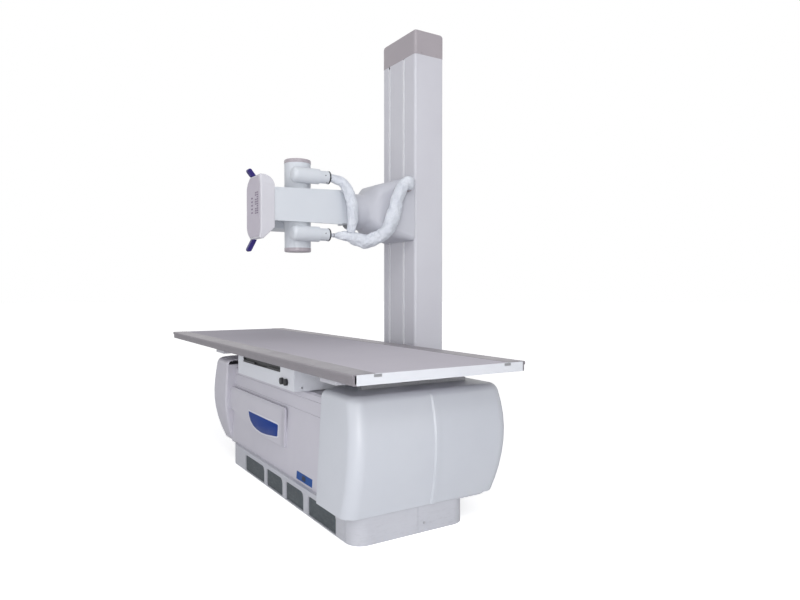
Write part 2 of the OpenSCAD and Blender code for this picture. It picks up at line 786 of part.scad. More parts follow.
module trolley_frame() {
    x0 = col_x - trolley_l / 2;
    x1 = col_x + trolley_l / 2;
    color(steel) difference() {
        union() {
            box([x0, rail_cy - 86, trolley_z - 12], [x1, rail_cy + 86, trolley_z]);
            for (x = wheel_x, s = [-1, 1])
                box([x - 22, rail_cy + s * 22 - 5, 48], [x + 22, rail_cy + s * 22 + 5, trolley_z - 11]);
        }
        for (x = wheel_x)
            rod_y(axle_r + 0.05, x, rail_cy - 30, rail_cy + 30, wheel_z);
    }
}

// A wheel at each end of one axle.
module wheelset(x) {
    color(steel) {
        rod_y(axle_r, x, rail_cy - wheel_y - 9, rail_cy + wheel_y + 9, wheel_z);
        for (s = [-1, 1])
            rod_y(wheel_r, x, rail_cy + s * wheel_y - 9, rail_cy + s * wheel_y + 9, wheel_z);
    }
}

module left_wheelset() {
    wheelset(wheel_x[0]);
}

module right_wheelset() {
    wheelset(wheel_x[1]);
}

module trolley_cover() {
    x0 = col_x - trolley_l / 2 - 12;
    x1 = col_x + trolley_l / 2 + 12;
    color(plastic) difference() {
        translate([0, 0, 46]) linear_extrude(trolley_z + 5 - 46)
            round_rect([x0, rail_cy - 98], [x1, rail_cy + 98], 18);
        translate([0, 0, 40]) linear_extrude(trolley_z - 40)
            round_rect([x0 + plate, rail_cy - 95], [x1 - plate, rail_cy + 95], 15);
        box([col_x0, col_y0, 90], [col_x1, col_y1, 130]);
        box([x0 - 1, rail_cy - 81, 30], [x1 + 1, rail_cy + 81, 66]);
    }
}

module column_section() {
    difference() {
        round_rect([col_x0, col_y0], [col_x1, col_y1], 14);
        round_rect([col_x0 + col_t, col_y0 + col_t], [col_x1 - col_t, col_y1 - col_t], 6);
        for (x = slit_xs)
            translate([x - slit_w / 2, col_y0 - 1]) square([slit_w, col_t + 2]);
        // Shallow grooves beside each slit.
        for (x = slit_xs, s = [-1, 1])
            translate([x + s * (slit_w / 2 + 4) - 1, col_y0 - 1]) square([2, 2.2]);
    }
}

module column_post() {
    color(plastic) {
        translate([0, 0, trolley_z]) linear_extrude(cap_z - trolley_z) column_section();
        // Closed foot and head of the section.
        for (z = [trolley_z, cap_z - 6])
            difference() {
                box([col_x0 + 4, col_y0 + 4, z], [col_x1 - 4, col_y1 - 4, z + 6]);
                box([col_x - 30, rope_front_y - 12, z - 1], [col_x + 30, rope_rear_y + 12, z + 7]);
            }
    }
}

module column_cap() {
    color(plastic_dark) difference() {
        union() {
            translate([0, 0, cap_z]) linear_extrude(cap_h - 12)
                round_rect([col_x0 - 1, col_y0 - 1], [col_x1 + 1, col_y1 + 1], 15);
            translate([0, 0, cap_z + cap_h - 12]) linear_extrude(7)
                round_rect([col_x0 + 1, col_y0 + 1], [col_x1 - 1, col_y1 - 1], 14);
            translate([0, 0, cap_z + cap_h - 5]) linear_extrude(5)
                round_rect([col_x0 + 6, col_y0 + 6], [col_x1 - 6, col_y1 - 6], 12);
        }
        translate([0, 0, cap_z - 1]) linear_extrude(cap_h - 15)
            round_rect([col_x0 + plate, col_y0 + plate], [col_x1 - plate, col_y1 - plate], 12);
    }
}

module cap_screws() {
    color("silver") for (s = [-1, 1], y = [col_y0 + 44, col_y1 - 44])
        screw_x(s > 0 ? col_x1 + 1 : col_x0 - 1, y, cap_z + 12, s);
}

module pulley_bracket() {
    color(steel) {
        difference() {
            union() {
                for (s = [-1, 1])
                    box([col_x + s * 40 - 5, pulley_y - 30, cap_z],
                        [col_x + s * 40 + 5, pulley_y + 30, pulley_z + 22]);
                for (s = [-1, 1])
                    box([col_x + s * 55 - 20, pulley_y - 30, cap_z],
                        [col_x + s * 55 + 20, pulley_y + 30, cap_z + 8]);
            }
            rod_x(8, col_x - 60, col_x + 60, pulley_y, pulley_z);
        }
        rod_x(8, col_x - 50, col_x + 50, pulley_y, pulley_z);
    }
}

module rope_pulley() {
    color("silver") translate([col_x, pulley_y, pulley_z]) rotate([0, 90, 0])
        rotate_extrude($fn = 96) polygon([[8.05, -34], [18, -34], [18, -12], [pulley_r + 8, -12],
            [pulley_r + 8, -7], [pulley_r - 0.4, -4], [pulley_r - 0.4, 4], [pulley_r + 8, 7],
            [pulley_r + 8, 12], [18, 12], [18, 34], [8.05, 34]]);
}

// Wire rope from the carriage over the pulley to the counterweight.
module lift_rope() {
    r = pulley_r + rope_r;
    color(steel) {
        translate([col_x, pulley_y, pulley_z]) rotate([90, 0, 90])
            rotate_extrude(angle = 180, $fn = 96) translate([r, 0]) circle(r = rope_r, $fn = 24);
        rod_z(rope_r, col_x, rope_front_y, inner_top_z, pulley_z);
        rod_z(rope_r, col_x, rope_rear_y, weight_z0 + weight_h, pulley_z);
    }
}

module counterweight() {
    color("dimgray")
        box([col_x - 105, rope_rear_y - 26, weight_z0],
            [col_x + 105, rope_rear_y + 26, weight_z0 + weight_h]);
}

// ---------- lifting carriage and arm ----------

// The carriage runs inside the column and reaches out through the two slits.
module inner_carriage() {
    color(steel) {
        box([col_x0 + col_t + 8, col_y0 + col_t + 4, inner_top_z - 290],
            [col_x1 - col_t - 8, rope_front_y + 12, inner_top_z]);
        for (x = slit_xs)
            box([x - slit_w / 2 + 1, col_y0 - 4, inner_top_z - 270],
                [x + slit_w / 2 - 1, col_y0 + col_t + 5, inner_top_z - 20]);
        box([col_x - 110, col_y0 - 12, inner_top_z - 270], [col_x + 90, col_y0 - 2, inner_top_z - 20]);
    }
}

// The box beam inside the casing ends in the bearing flange that carries the head.
module arm_beam() {
    color(plastic_dark) difference() {
        union() {
            box([head_x - 40, arm_front_y + 10, axis_z - 40], [head_x + 40, col_y0 - 12, axis_z + 40]);
            rod_y(86, head_x, arm_front_y - 5, arm_front_y, axis_z - 8);
            rod_y(62, head_x, arm_front_y - 5, arm_front_y + 11, axis_z);
        }
        box([head_x - 34, arm_front_y + 27, axis_z - 34], [head_x + 34, col_y0 - 11, axis_z + 34]);
        rod_y(25.05, head_x, arm_front_y - 6, arm_front_y + 28, axis_z);
    }
}

// How far the casing has widened at share t of its length: a shoulder, then a straight flank.
function arm_flare(t) =
    let (s = max(t - 0.22, 0) / 0.78, q = min(s / 0.26, 1)) q * q * (3 - 2 * q) * 0.3 + s * 0.7;

// Ring i of the arm's casing: [y, low x, high x, low z, high z, corner radius].
function arm_ring(i) =
    let (n = arm_steps, t = i / n, y = arm_front_y + (arm_back_y - arm_front_y) * t,
         flare = arm_flare(t))
    [y,
     head_x - 92.5 + (col_x0 + 1 - head_x + 92.5) * flare,
     head_x + 92.5 + (col_x1 - 1 - head_x - 92.5) * flare,
     axis_z - 100 - 53 * flare,
     axis_z + 84 + 99 * flare,
     92 - 68 * flare];
arm_steps = 20;
arm_t = 4;

function ring_points(q, t) =
    let (r = max(q[5] - t, 3), xs = [q[1] + t, q[2] - t], zs = [q[3] + t, q[4] - t])
    [for (c = [0:3], k = [0:7])
        let (a = 90 * c + 90 * k / 7,
             cx = (c == 0 || c == 3) ? xs[1] - r : xs[0] + r,
             cz = (c < 2) ? zs[1] - r : zs[0] + r)
        [cx + r * cos(a), q[0], cz + r * sin(a)]];

// A closed tube skin between nested rings of points.
module ring_shell(outer, inner) {
    rows = len(outer);
    m = len(outer[0]);
    n = rows * m;
    function at(j, k) = j * m + (k % m);
    points = concat([for (r = outer, p = r) p], [for (r = inner, p = r) p]);
    skins = [for (j = [0:rows - 2], k = [0:m - 1])
        each [[at(j, k), at(j + 1, k), at(j + 1, k + 1)], [at(j, k), at(j + 1, k + 1), at(j, k + 1)],
              [n + at(j, k), n + at(j + 1, k + 1), n + at(j + 1, k)],
              [n + at(j, k), n + at(j, k + 1), n + at(j + 1, k + 1)]]];
    rims = [for (k = [0:m - 1])
        each [[at(0, k), at(0, k + 1), n + at(0, k + 1)], [at(0, k), n + at(0, k + 1), n + at(0, k)],
              [at(rows - 1, k), n + at(rows - 1, k + 1), at(rows - 1, k + 1)],
              [at(rows - 1, k), n + at(rows - 1, k), n + at(rows - 1, k + 1)]]];
    polyhedron(points, concat(skins, rims), convexity = 6);
}

module arm_cover() {
    outer = [for (i = [0:arm_steps]) ring_points(arm_ring(i), 0)];
    inner = [for (i = [0:arm_steps]) ring_points(arm_ring(i), arm_t)];
    color(plastic) ring_shell(outer, inner);
}

gland_y = 470;
gland_z = axis_z + 120;
gland_turn = 10;
gland_x = head_x + 92.9 + (col_x1 - head_x - 93.5) * arm_flare((gland_y - arm_front_y) / (arm_back_y - arm_front_y));

// Where the sleeved cables enter the arm's flank.
module cable_gland() {
    color(plastic_dark) translate([gland_x, gland_y, gland_z]) rotate([0, 90, -gland_turn]) {
        cylinder(r = gland_r + 8, h = gland_l / 2);
        cylinder(r = gland_r + 3, h = gland_l);
    }
}

// ---------- high-voltage cables ----------

// A smooth route through hand-chosen points (Catmull-Rom).
function spline(p, i, t) =
    let (a = p[max(i - 1, 0)], b = p[i], c = p[i + 1], d = p[min(i + 2, len(p) - 1)])
    0.5 * (2 * b + (c - a) * t + (2 * a - 5 * b + 4 * c - d) * t * t
           + (3 * b - a - 3 * c + d) * t * t * t);
function route(p, per) = concat(
    [for (i = [0:len(p) - 2], k = [0:per - 1]) spline(p, i, k / per)], [p[len(p) - 1]]);

sleeve_sides = 10;

// One tube swept along a route of [x, y, z, radius], its rings square to the path.
module sweep(q, start_dir, end_dir) {
    n = len(q) - 1;
    m = sleeve_sides;
    p = [for (v = q) [v[0], v[1], v[2]]];
    dirs = [for (i = [0:n]) i == 0 ? start_dir : i == n ? end_dir : unit(p[i + 1] - p[i - 1])];
    rings = [for (i = [0:n])
        let (t = dirs[i], side = unit(cross(t, [1, 0, 0.001])), up = cross(t, side), r = q[i][3])
        [for (k = [0:m - 1]) p[i] + r * (side * cos(360 * k / m) + up * sin(360 * k / m))]];
    points = [for (c = rings, v = c) v];
    faces = concat(
        [[for (k = [0:m - 1]) k]],
        [for (j = [0:n - 1], k = [0:m - 1])
            each [[j * m + k, (j + 1) * m + k, (j + 1) * m + (k + 1) % m],
                  [j * m + k, (j + 1) * m + (k + 1) % m, j * m + (k + 1) % m]]],
        [[for (k = [0:m - 1]) n * m + m - 1 - k]]);
    polyhedron(points, faces, convexity = 10);
}

sleeve_end = gland_l + run;

// Each sleeve's centre line and radius. The lower one is tied close behind its plug.
upper_route = [
    [horn_x, nut_y1, axis_z + horn_z, 19],
    [horn_x + 6, 88, axis_z + 133, 21],
    [horn_x + 22, 125, axis_z + 112, 24],
    [horn_x + 34, 152, axis_z + 62, 28],
    [horn_x + 35, 166, axis_z + 5, 29],
    [horn_x + 33, 168, axis_z - 51, 26],
    [horn_x + 27, 166, axis_z - 95, 21],
    [horn_x + 20, 164, axis_z - 120, 19]];
lower_route = [
    [horn_x, nut_y1, axis_z - horn_z, 14],
    [horn_x + 1, 80, axis_z - 140, 9],
    [horn_x + 4, 104, axis_z - 140, 17],
    [horn_x + 10, 138, axis_z - 141, 24],
    [horn_x + 22, 192, axis_z - 152, 33],
    [horn_x + 34, 240, axis_z - 165, 35],
    [horn_x + 54, 292, axis_z - 146, 34],
    [horn_x + 84, 336, axis_z - 108, 33],
    [horn_x + 95, 362, axis_z - 44, 32],
    [horn_x + 97, 382, axis_z + 24, 31],
    [horn_x + 100, 406, axis_z + 92, 29],
    [horn_x + 106, 436, axis_z + 136, 24],
    [gland_x + 45, gland_y - 20, gland_z + 20, 22],
    [gland_x + 35, gland_y - 6.1, gland_z + 1, 20],
    [gland_x + sleeve_end * cos(gland_turn), gland_y - sleeve_end * sin(gland_turn), gland_z, gland_r]];

module hv_cable_upper() {
    color("white") sweep(route(upper_route, 4), [0, 1, 0], [0, 0, -1]);
}

module hv_cable_lower() {
    color("white") sweep(route(lower_route, 4), [0, 1, 0], [-cos(gland_turn), sin(gland_turn), 0]);
}

// ---------- tube head ----------

// Outline of the head's side plate in (y, z), lower towards the console.
module side_plate(y0, y1, d) {
    polygon([[y0, axis_z - head_low + d], [y1, axis_z - head_low + d], [y1, side_top(y1) - d],
             [y0, side_top(y0) - d]]);
}

function side_top(y) =
    axis_z + head_high_front + (head_high_back - head_high_front)
        * min((y - yoke_front_y) / (cover_y1 - yoke_front_y), 1);

module head_yoke() {
    x0 = head_x - 60;
    x1 = web_x + web_t;
    color(plastic_light) {
        along_x(web_x, x1) side_plate(yoke_front_y, yoke_back_y, 5.5);
        box([x0, yoke_back_y - 14, axis_z - 76], [x1, yoke_back_y, axis_z + 76]);
        box([x0, yoke_front_y, axis_z - 60], [x1, yoke_front_y + 12, axis_z + 60]);
        rod_y(76, head_x, yoke_back_y - 10, arm_front_y - 5 - run, axis_z);
        rod_y(25, head_x, yoke_back_y, arm_front_y + 24, axis_z);
    }
}

cover_y1 = 130;

module head_cover() {
    x1 = web_x + web_t + 3;
    y0 = yoke_front_y + 1;
    color(plastic_light) {
        difference() {
            along_x(web_x - 6, x1) side_plate(y0, cover_y1, 0);
            along_x(web_x - 7, x1 - 3) side_plate(yoke_front_y, cover_y1 - 2.5, 2.5);
            box([web_x - 7, tube_y - tube_d / 2 - 1, axis_z - 90],
                [web_x, tube_y + tube_d / 2 + 1, axis_z + 90]);
            box([web_x - 7, cover_y1 - 3, axis_z - head_low + 4], [x1 - 3, cover_y1 + 1, axis_z + 80]);
        }
        for (y = [yoke_front_y + 12, cover_y1 - 9])
            screw_x(x1, y, axis_z - head_low + 9);
        screw_x(x1, yoke_front_y + 12, side_top(yoke_front_y) - 9);
        screw_x(x1, cover_y1 - 9, side_top(cover_y1) - 9);
    }
}

module tube_housing() {
    color(plastic_light) {
        rod_z(tube_d / 2, head_x, tube_y, axis_z - tube_l / 2, axis_z + tube_l / 2);
        // Pad against the yoke and port towards the collimator.
        box([head_x + 30, tube_y - 38, axis_z - 40], [web_x, tube_y + 38, axis_z + 40]);
        rod_x(52, head_x - 100, head_x - 20, tube_y, axis_z);
        rod_x(74, head_x - 112, head_x - 100, tube_y, axis_z);
        for (s = [-1, 1])
            horn(axis_z + s * horn_z);
    }
}

// A cable receptacle: a round-nosed well on the back of the housing.
module horn(z) {
    nose = 20;
    y0 = tube_y - 66;
    difference() {
        union() {
            rod_y(horn_d / 2, horn_x, y0 + nose, plug_y0, z);
            translate([horn_x, y0 + nose, z]) rotate([90, 0, 0]) rotate_extrude() intersection() {
                union() {
                    square([horn_d / 2 - nose, nose]);
                    translate([horn_d / 2 - nose, 0]) circle(r = nose);
                }
                square([horn_d, nose]);
            }
        }
        rod_y(18.1, horn_x, plug_y0 - 50, plug_y0 + 1, z);
    }
    box([head_x + 40, tube_y - 30, z - 24], [horn_x - 10, tube_y + 20, z + 24]);
}

module tube_cap(s) {
    z0 = axis_z + s * tube_l / 2;
    color(plastic_dark) translate([head_x, tube_y, z0]) rotate([s > 0 ? 0 : 180, 0, 0])
        rotate_extrude() intersection() {
            union() {
                square([tube_d / 2 - 7, 19]);
                square([tube_d / 2 + 1, 12]);
                translate([tube_d / 2 - 6, 12]) circle(r = 7);
            }
            square([tube_d, 19]);
        }
}

module upper_tube_cap() {
    tube_cap(1);
}

module lower_tube_cap() {
    tube_cap(-1);
}

// Cable plugs with a light collar and a dark knurled nut.
module cable_plugs() {
    for (s = [-1, 1]) {
        z = axis_z + s * horn_z;
        color(plastic_light) rod_y(30, horn_x, plug_y0, plug_y1, z);
        color(plastic_light) rod_y(18, horn_x, plug_y0 - 46, plug_y0 + 1, z);
        color(toe_grey) rod_y(31, horn_x, plug_y1, nut_y1, z);
    }
}

// ---------- operator console ----------

// Outline of the console in (x, z): long sides and cut corners.
module console_outline(d) {
    x0 = console_x0 + d;
    x1 = console_x1 - d;
    z0 = console_z - console_l / 2 + d;
    z1 = console_z + console_l / 2 - d;
    c = 46;
    polygon([[x0 + c, z0], [x1 - 16, z0], [x1, z0 + c], [x1, z1 - c], [x1 - 16, z1], [x0 + c, z1],
             [x0 + 14, z1 - 24], [x0, z1 - c], [x0, z0 + c], [x0 + 14, z0 + 24]]);
}

// The console seen from its side: round at the top, cut back towards the yoke below.
module console_body() {
    z0 = console_z - console_l / 2;
    z1 = console_z + console_l / 2;
    r = 50;
    color(plastic) intersection() {
        hull() {
            along_y(console_y0, console_y0 + 5) console_outline(4);
            along_y(console_y0 + 5, console_y1) console_outline(0);
        }
        along_x(console_x0 - 1, console_x1 + 1)
            polygon(concat(
                [[console_y0, z0], [console_y0 + 18, z0], [console_y1 - 16, z0 + 36], [console_y1, z0 + 56]],
                [for (k = [0:8]) let (a = 90 * k / 8)
                    [console_y1 - r + r * cos(a), z1 - r + r * sin(a)]],
                [[console_y0, z1]]));
    }
}

module console_panel() {
    color(plastic_dark) along_y(console_y0 - 2, console_y0) console_outline(10);
}

handle_x0 = console_x0 + 50;
handle_x1 = console_x0 + 78;
handle_y = console_y0 + 13;

// A long bar below and a short one above, both splayed towards the operator.
module console_handles() {
    color(indigo) {
        translate([(handle_x0 + handle_x1) / 2, handle_y, console_z + console_l / 2 + 0.01])
            handle_bar(handle_x1 - handle_x0, 44, 38);
        translate([(handle_x0 + handle_x1) / 2, handle_y, console_z - console_l / 2 - 0.01])
            mirror([0, 0, 1]) handle_bar(handle_x1 - handle_x0, 62, 27);
    }
}

module handle_bar(w, reach, splay) {
    difference() {
        rotate([splay, 0, 0]) rotate([0, 90, 0]) translate([0, 0, -w / 2]) linear_extrude(w)
            round_rect([-reach, -10], [14, 10], 9.9);
        translate([-w, -60, -60]) cube([2 * w, 120, 60]);
    }
}

// ---------- collimator ----------

module collimator_body() {
    y0 = tube_y - coll_w / 2;
    y1 = tube_y + coll_w / 2;
    z0 = axis_z - coll_w / 2;
    z1 = axis_z + coll_w / 2;
    color(plastic_light) {
        difference() {
            union() {
                along_x(coll_x0, coll_x1) round_rect([y0, z0], [y1, z1], 14);
                rod_x(78, coll_x1, head_x - 112 - run, tube_y, axis_z);
            }
            box([coll_x0 - 1, tube_y - 62, axis_z - 62], [coll_x0 + 30, tube_y + 62, axis_z + 62]);
            for (s = [-1, 1])
                rod_y(5.05, coll_knob_x, y0 - 1, y0 + 22, axis_z + s * 55);
            box([lamp_x - 9.3, y0 - 1, axis_z - 9.3], [lamp_x + 9.3, y0 + 12, axis_z + 9.3]);
        }
        // Accessory rails around the window.
        for (s = [-1, 1])
            box([coll_x0 - 10, tube_y + s * 88 - 5, axis_z - 86],
                [coll_x0, tube_y + s * 88 + 5, axis_z + 86]);
        for (s = [-1, 1])
            box([coll_x0 - 10, tube_y + s * 82 - 11, axis_z - 86],
                [coll_x0 - 7, tube_y + s * 82 + 11, axis_z + 86]);
    }
    color([0.8, 0.85, 0.9])
        box([coll_x0 + 3, tube_y - 62, axis_z - 62], [coll_x0 + 6, tube_y + 62, axis_z + 62]);
}

coll_knob_x = coll_x0 + 60;
lamp_x = coll_x0 + 120;

// A knob that sets the beam's height or width.
module field_knob(z) {
    y0 = tube_y - coll_w / 2;
    color(black) {
        rod_y(17, coll_knob_x, y0 - 18, y0 - run, z);
        rod_y(5, coll_knob_x, y0 - 1, y0 + 20, z);
    }
}

module upper_field_knob() {
    field_knob(axis_z + 55);
}

module lower_field_knob() {
    field_knob(axis_z - 55);
}

module lamp_button() {
    y0 = tube_y - coll_w / 2;
    color(indigo) box([lamp_x - 9, y0 - 5, axis_z - 9], [lamp_x + 9, y0 + 6, axis_z + 9]);
}

base_frame();
floor_skirt();
toe_panels();
front_cover();
rear_cover();
right_front_cover();
right_rear_cover();
left_front_cover();
left_rear_cover();
badge_plate();
label_plate();
bucky_rails();
cross_rails();
cover_screws();
floor_rail();
rail_stops();
cross_carriage();
guide_pads();
tabletop_panel();
front_rail();
rear_rail();
right_end_cap();
left_end_cap();
clip_tabs();
bucky_housing();
grid_plate();
bucky_screws();
cassette_tray();
left_lock_knob();
right_lock_knob();
trolley_frame();
trolley_cover();
column_post();
column_cap();
cap_screws();
pulley_bracket();
lift_rope();
left_wheelset();
right_wheelset();
rope_pulley();
counterweight();
inner_carriage();
arm_beam();
arm_cover();
cable_gland();
hv_cable_upper();
hv_cable_lower();
head_yoke();
head_cover();
tube_housing();
upper_tube_cap();
lower_tube_cap();
cable_plugs();
console_body();
console_panel();
console_handles();
collimator_body();
upper_field_knob();
lower_field_knob();
lamp_button();
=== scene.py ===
import json
import math

import bmesh
import bpy
from mathutils import Matrix, Vector, noise

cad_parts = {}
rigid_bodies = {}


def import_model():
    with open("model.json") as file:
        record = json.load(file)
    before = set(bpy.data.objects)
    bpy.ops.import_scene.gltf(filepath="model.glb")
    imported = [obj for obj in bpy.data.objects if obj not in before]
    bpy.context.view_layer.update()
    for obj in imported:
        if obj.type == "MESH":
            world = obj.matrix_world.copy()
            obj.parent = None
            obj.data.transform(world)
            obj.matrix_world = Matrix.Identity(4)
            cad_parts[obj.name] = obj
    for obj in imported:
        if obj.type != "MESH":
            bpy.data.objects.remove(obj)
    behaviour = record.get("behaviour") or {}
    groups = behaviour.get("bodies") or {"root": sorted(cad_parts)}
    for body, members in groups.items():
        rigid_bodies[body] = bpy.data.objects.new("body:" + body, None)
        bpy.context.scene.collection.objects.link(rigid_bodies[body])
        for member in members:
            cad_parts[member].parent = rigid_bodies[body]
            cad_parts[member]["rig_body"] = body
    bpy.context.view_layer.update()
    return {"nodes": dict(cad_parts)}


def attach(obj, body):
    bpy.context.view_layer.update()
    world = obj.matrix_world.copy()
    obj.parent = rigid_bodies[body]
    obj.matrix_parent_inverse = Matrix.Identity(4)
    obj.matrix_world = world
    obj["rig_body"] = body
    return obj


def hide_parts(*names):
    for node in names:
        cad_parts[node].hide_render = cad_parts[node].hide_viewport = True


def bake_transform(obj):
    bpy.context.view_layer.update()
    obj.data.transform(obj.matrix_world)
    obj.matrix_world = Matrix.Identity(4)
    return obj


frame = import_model()
nodes = frame["nodes"]
scene = bpy.context.scene


# ---------------------------------------------------------------- camera

def set_camera():
    """The camera, off the table's right end on the operator's side, just above the tabletop."""
    data = bpy.data.cameras.new("camera")
    data.sensor_width = 36
    data.lens = 28.53
    data.clip_start = 0.05
    data.clip_end = 100
    camera = bpy.data.objects.new("camera", data)
    scene.collection.objects.link(camera)
    look = Vector((-0.8433, 0.5372, -0.0175))
    camera.rotation_mode = "QUATERNION"
    camera.rotation_quaternion = look.to_track_quat("-Z", "Y")
    camera.location = (2.9586, -1.3138, 0.8794)
    scene.camera = camera


set_camera()


# ---------------------------------------------------------------- colours

def tint(red, green, blue):
    """A linear colour from its 0-255 screen values."""
    def linear(value):
        value /= 255
        return value / 12.92 if value <= 0.04045 else ((value + 0.055) / 1.055) ** 2.4
    return (linear(red), linear(green), linear(blue), 1)


# ---------------------------------------------------------------- shader groups

def new_group(name, inputs, outputs):
    """An empty shader group with its named sockets."""
    tree = bpy.data.node_groups.new(name, "ShaderNodeTree")
    for label, kind, value in inputs:
        socket = tree.interface.new_socket(name=label, in_out="INPUT", socket_type="NodeSocket" + kind)
        if value is not None:
            socket.default_value = value
    for label, kind in outputs:
        tree.interface.new_socket(name=label, in_out="OUTPUT", socket_type="NodeSocket" + kind)
    return tree, tree.nodes.new("NodeGroupInput").outputs, tree.nodes.new("NodeGroupOutput").inputs


def feed(tree, node, inputs):
    """Plain values and wires into a node's inputs, by name or, as _0 and _1, by number."""
    for key, value in inputs.items():
        by_number = key[0] == "_" and key[1:].isdigit()
        socket = node.inputs[int(key[1:]) if by_number else key.replace("_", " ")]
        if isinstance(value, bpy.types.NodeSocket):
            tree.links.new(value, socket)
        else:
            socket.default_value = value
    return node


def put(tree, kind, settings=None, **inputs):
    """A node with its settings, its plain inputs and its wires."""
    node = tree.nodes.new("ShaderNode" + kind)
    for key, value in (settings or {}).items():
        setattr(node, key, value)
    return feed(tree, node, inputs)


def maths(tree, operation, a, b=0.0):
    """The result of one Math node."""
    return put(tree, "Math", {"operation": operation}, _0=a, _1=b).outputs[0]


def spread(tree, value, low, high, to_low, to_high):
    """A value taken from one range to another."""
    return put(tree, "MapRange", Value=value, From_Min=low, From_Max=high,
               To_Min=to_low, To_Max=to_high).outputs["Result"]


def cloudy_tone_group():
    """Slow drift between two near colours, with a fine fleck."""
    tree, given, out = new_group("cloudy_tone", [
        ("Vector", "Vector", None), ("Light", "Color", (1, 1, 1, 1)), ("Dark", "Color", (0.5, 0.5, 0.5, 1)),
        ("Patch Size", "Float", 3.0), ("Fleck Size", "Float", 300.0), ("Fleck", "Float", 0.15),
    ], [("Colour", "Color"), ("Mask", "Float")])
    patch = put(tree, "TexNoise", Vector=given["Vector"], Scale=given["Patch Size"], Detail=4.0,
                Roughness=0.55).outputs["Fac"]
    fleck = put(tree, "TexNoise", Vector=given["Vector"], Scale=given["Fleck Size"],
                Detail=2.0).outputs["Fac"]
    soft = spread(tree, patch, 0.32, 0.68, 0.0, 1.0)
    grain = maths(tree, "MULTIPLY", maths(tree, "SUBTRACT", fleck, 0.5), given["Fleck"])
    mask = put(tree, "Math", {"operation": "ADD", "use_clamp": True}, _0=soft, _1=grain).outputs[0]
    mix = put(tree, "Mix", {"data_type": "RGBA"}, Factor=mask)
    tree.links.new(given["Light"], mix.inputs[6])
    tree.links.new(given["Dark"], mix.inputs[7])
    tree.links.new(mix.outputs[2], out["Colour"])
    tree.links.new(mask, out["Mask"])
    return tree


def mould_grain_group():
    """Fine orange-peel and pebble of a moulded or sprayed skin."""
    tree, given, out = new_group("mould_grain", [
        ("Vector", "Vector", None), ("Size", "Float", 600.0), ("Wave Size", "Float", 18.0),
        ("Wave", "Float", 0.4),
    ], [("Height", "Float")])
    pebble = put(tree, "TexVoronoi", {"feature": "SMOOTH_F1"}, Vector=given["Vector"],
                 Scale=given["Size"]).outputs["Distance"]
    peel = put(tree, "TexNoise", Vector=given["Vector"], Scale=given["Size"], Detail=3.0).outputs["Fac"]
    wave = put(tree, "TexNoise", Vector=given["Vector"], Scale=given["Wave Size"], Detail=1.0).outputs["Fac"]
    both = maths(tree, "ADD", maths(tree, "MULTIPLY", pebble, 0.5), maths(tree, "MULTIPLY", peel, 0.5))
    tree.links.new(maths(tree, "ADD", both, maths(tree, "MULTIPLY", wave, given["Wave"])), out["Height"])
    return tree


def handling_group():
    """Roughness that drifts where hands and cloths have been."""
    tree, given, out = new_group("handling", [
        ("Vector", "Vector", None), ("Smooth", "Float", 0.3), ("Rough", "Float", 0.45),
        ("Size", "Float", 7.0),
    ], [("Roughness", "Float")])
    smear = put(tree, "TexNoise", Vector=given["Vector"], Scale=given["Size"], Detail=6.0, Roughness=0.62,
                Distortion=0.8).outputs["Fac"]
    value = put(tree, "MapRange", Value=smear, From_Min=0.3, From_Max=0.72)
    tree.links.new(given["Smooth"], value.inputs["To Min"])
    tree.links.new(given["Rough"], value.inputs["To Max"])
    tree.links.new(value.outputs["Result"], out["Roughness"])
    return tree


def drawn_lines_group():
    """Hairlines left by drawing or brushing, stretched along one direction."""
    tree, given, out = new_group("drawn_lines", [
        ("Vector", "Vector", None), ("Stretch", "Vector", (1, 60, 60)), ("Size", "Float", 30.0),
    ], [("Height", "Float"), ("Mask", "Float")])
    scaled = put(tree, "VectorMath", {"operation": "MULTIPLY"}, _0=given["Vector"],
                 _1=given["Stretch"]).outputs[0]
    lines = put(tree, "TexNoise", Vector=scaled, Scale=given["Size"], Detail=3.0,
                Roughness=0.6).outputs["Fac"]
    tree.links.new(lines, out["Height"])
    tree.links.new(spread(tree, lines, 0.3, 0.7, 0.0, 1.0), out["Mask"])
    return tree


def floor_scuffs_group():
    """Grey rub marks that gather near the floor."""
    tree, given, out = new_group("floor_scuffs", [
        ("Vector", "Vector", None), ("Height", "Float", 0.12), ("Amount", "Float", 0.5),
    ], [("Mask", "Float")])
    z = put(tree, "SeparateXYZ", Vector=given["Vector"]).outputs["Z"]
    low = maths(tree, "SUBTRACT", 1.0, maths(tree, "DIVIDE", z, given["Height"]))
    low = put(tree, "Math", {"operation": "MAXIMUM"}, _0=low, _1=0.0).outputs[0]
    stretched = put(tree, "Mapping", Vector=given["Vector"], Scale=(6, 6, 26)).outputs[0]
    marks = put(tree, "TexNoise", Vector=stretched, Scale=5.0, Detail=6.0, Roughness=0.7).outputs["Fac"]
    marks = spread(tree, marks, 0.5, 0.75, 0.0, 1.0)
    amount = maths(tree, "MULTIPLY", maths(tree, "MULTIPLY", marks, low), given["Amount"])
    tree.links.new(amount, out["Mask"])
    return tree


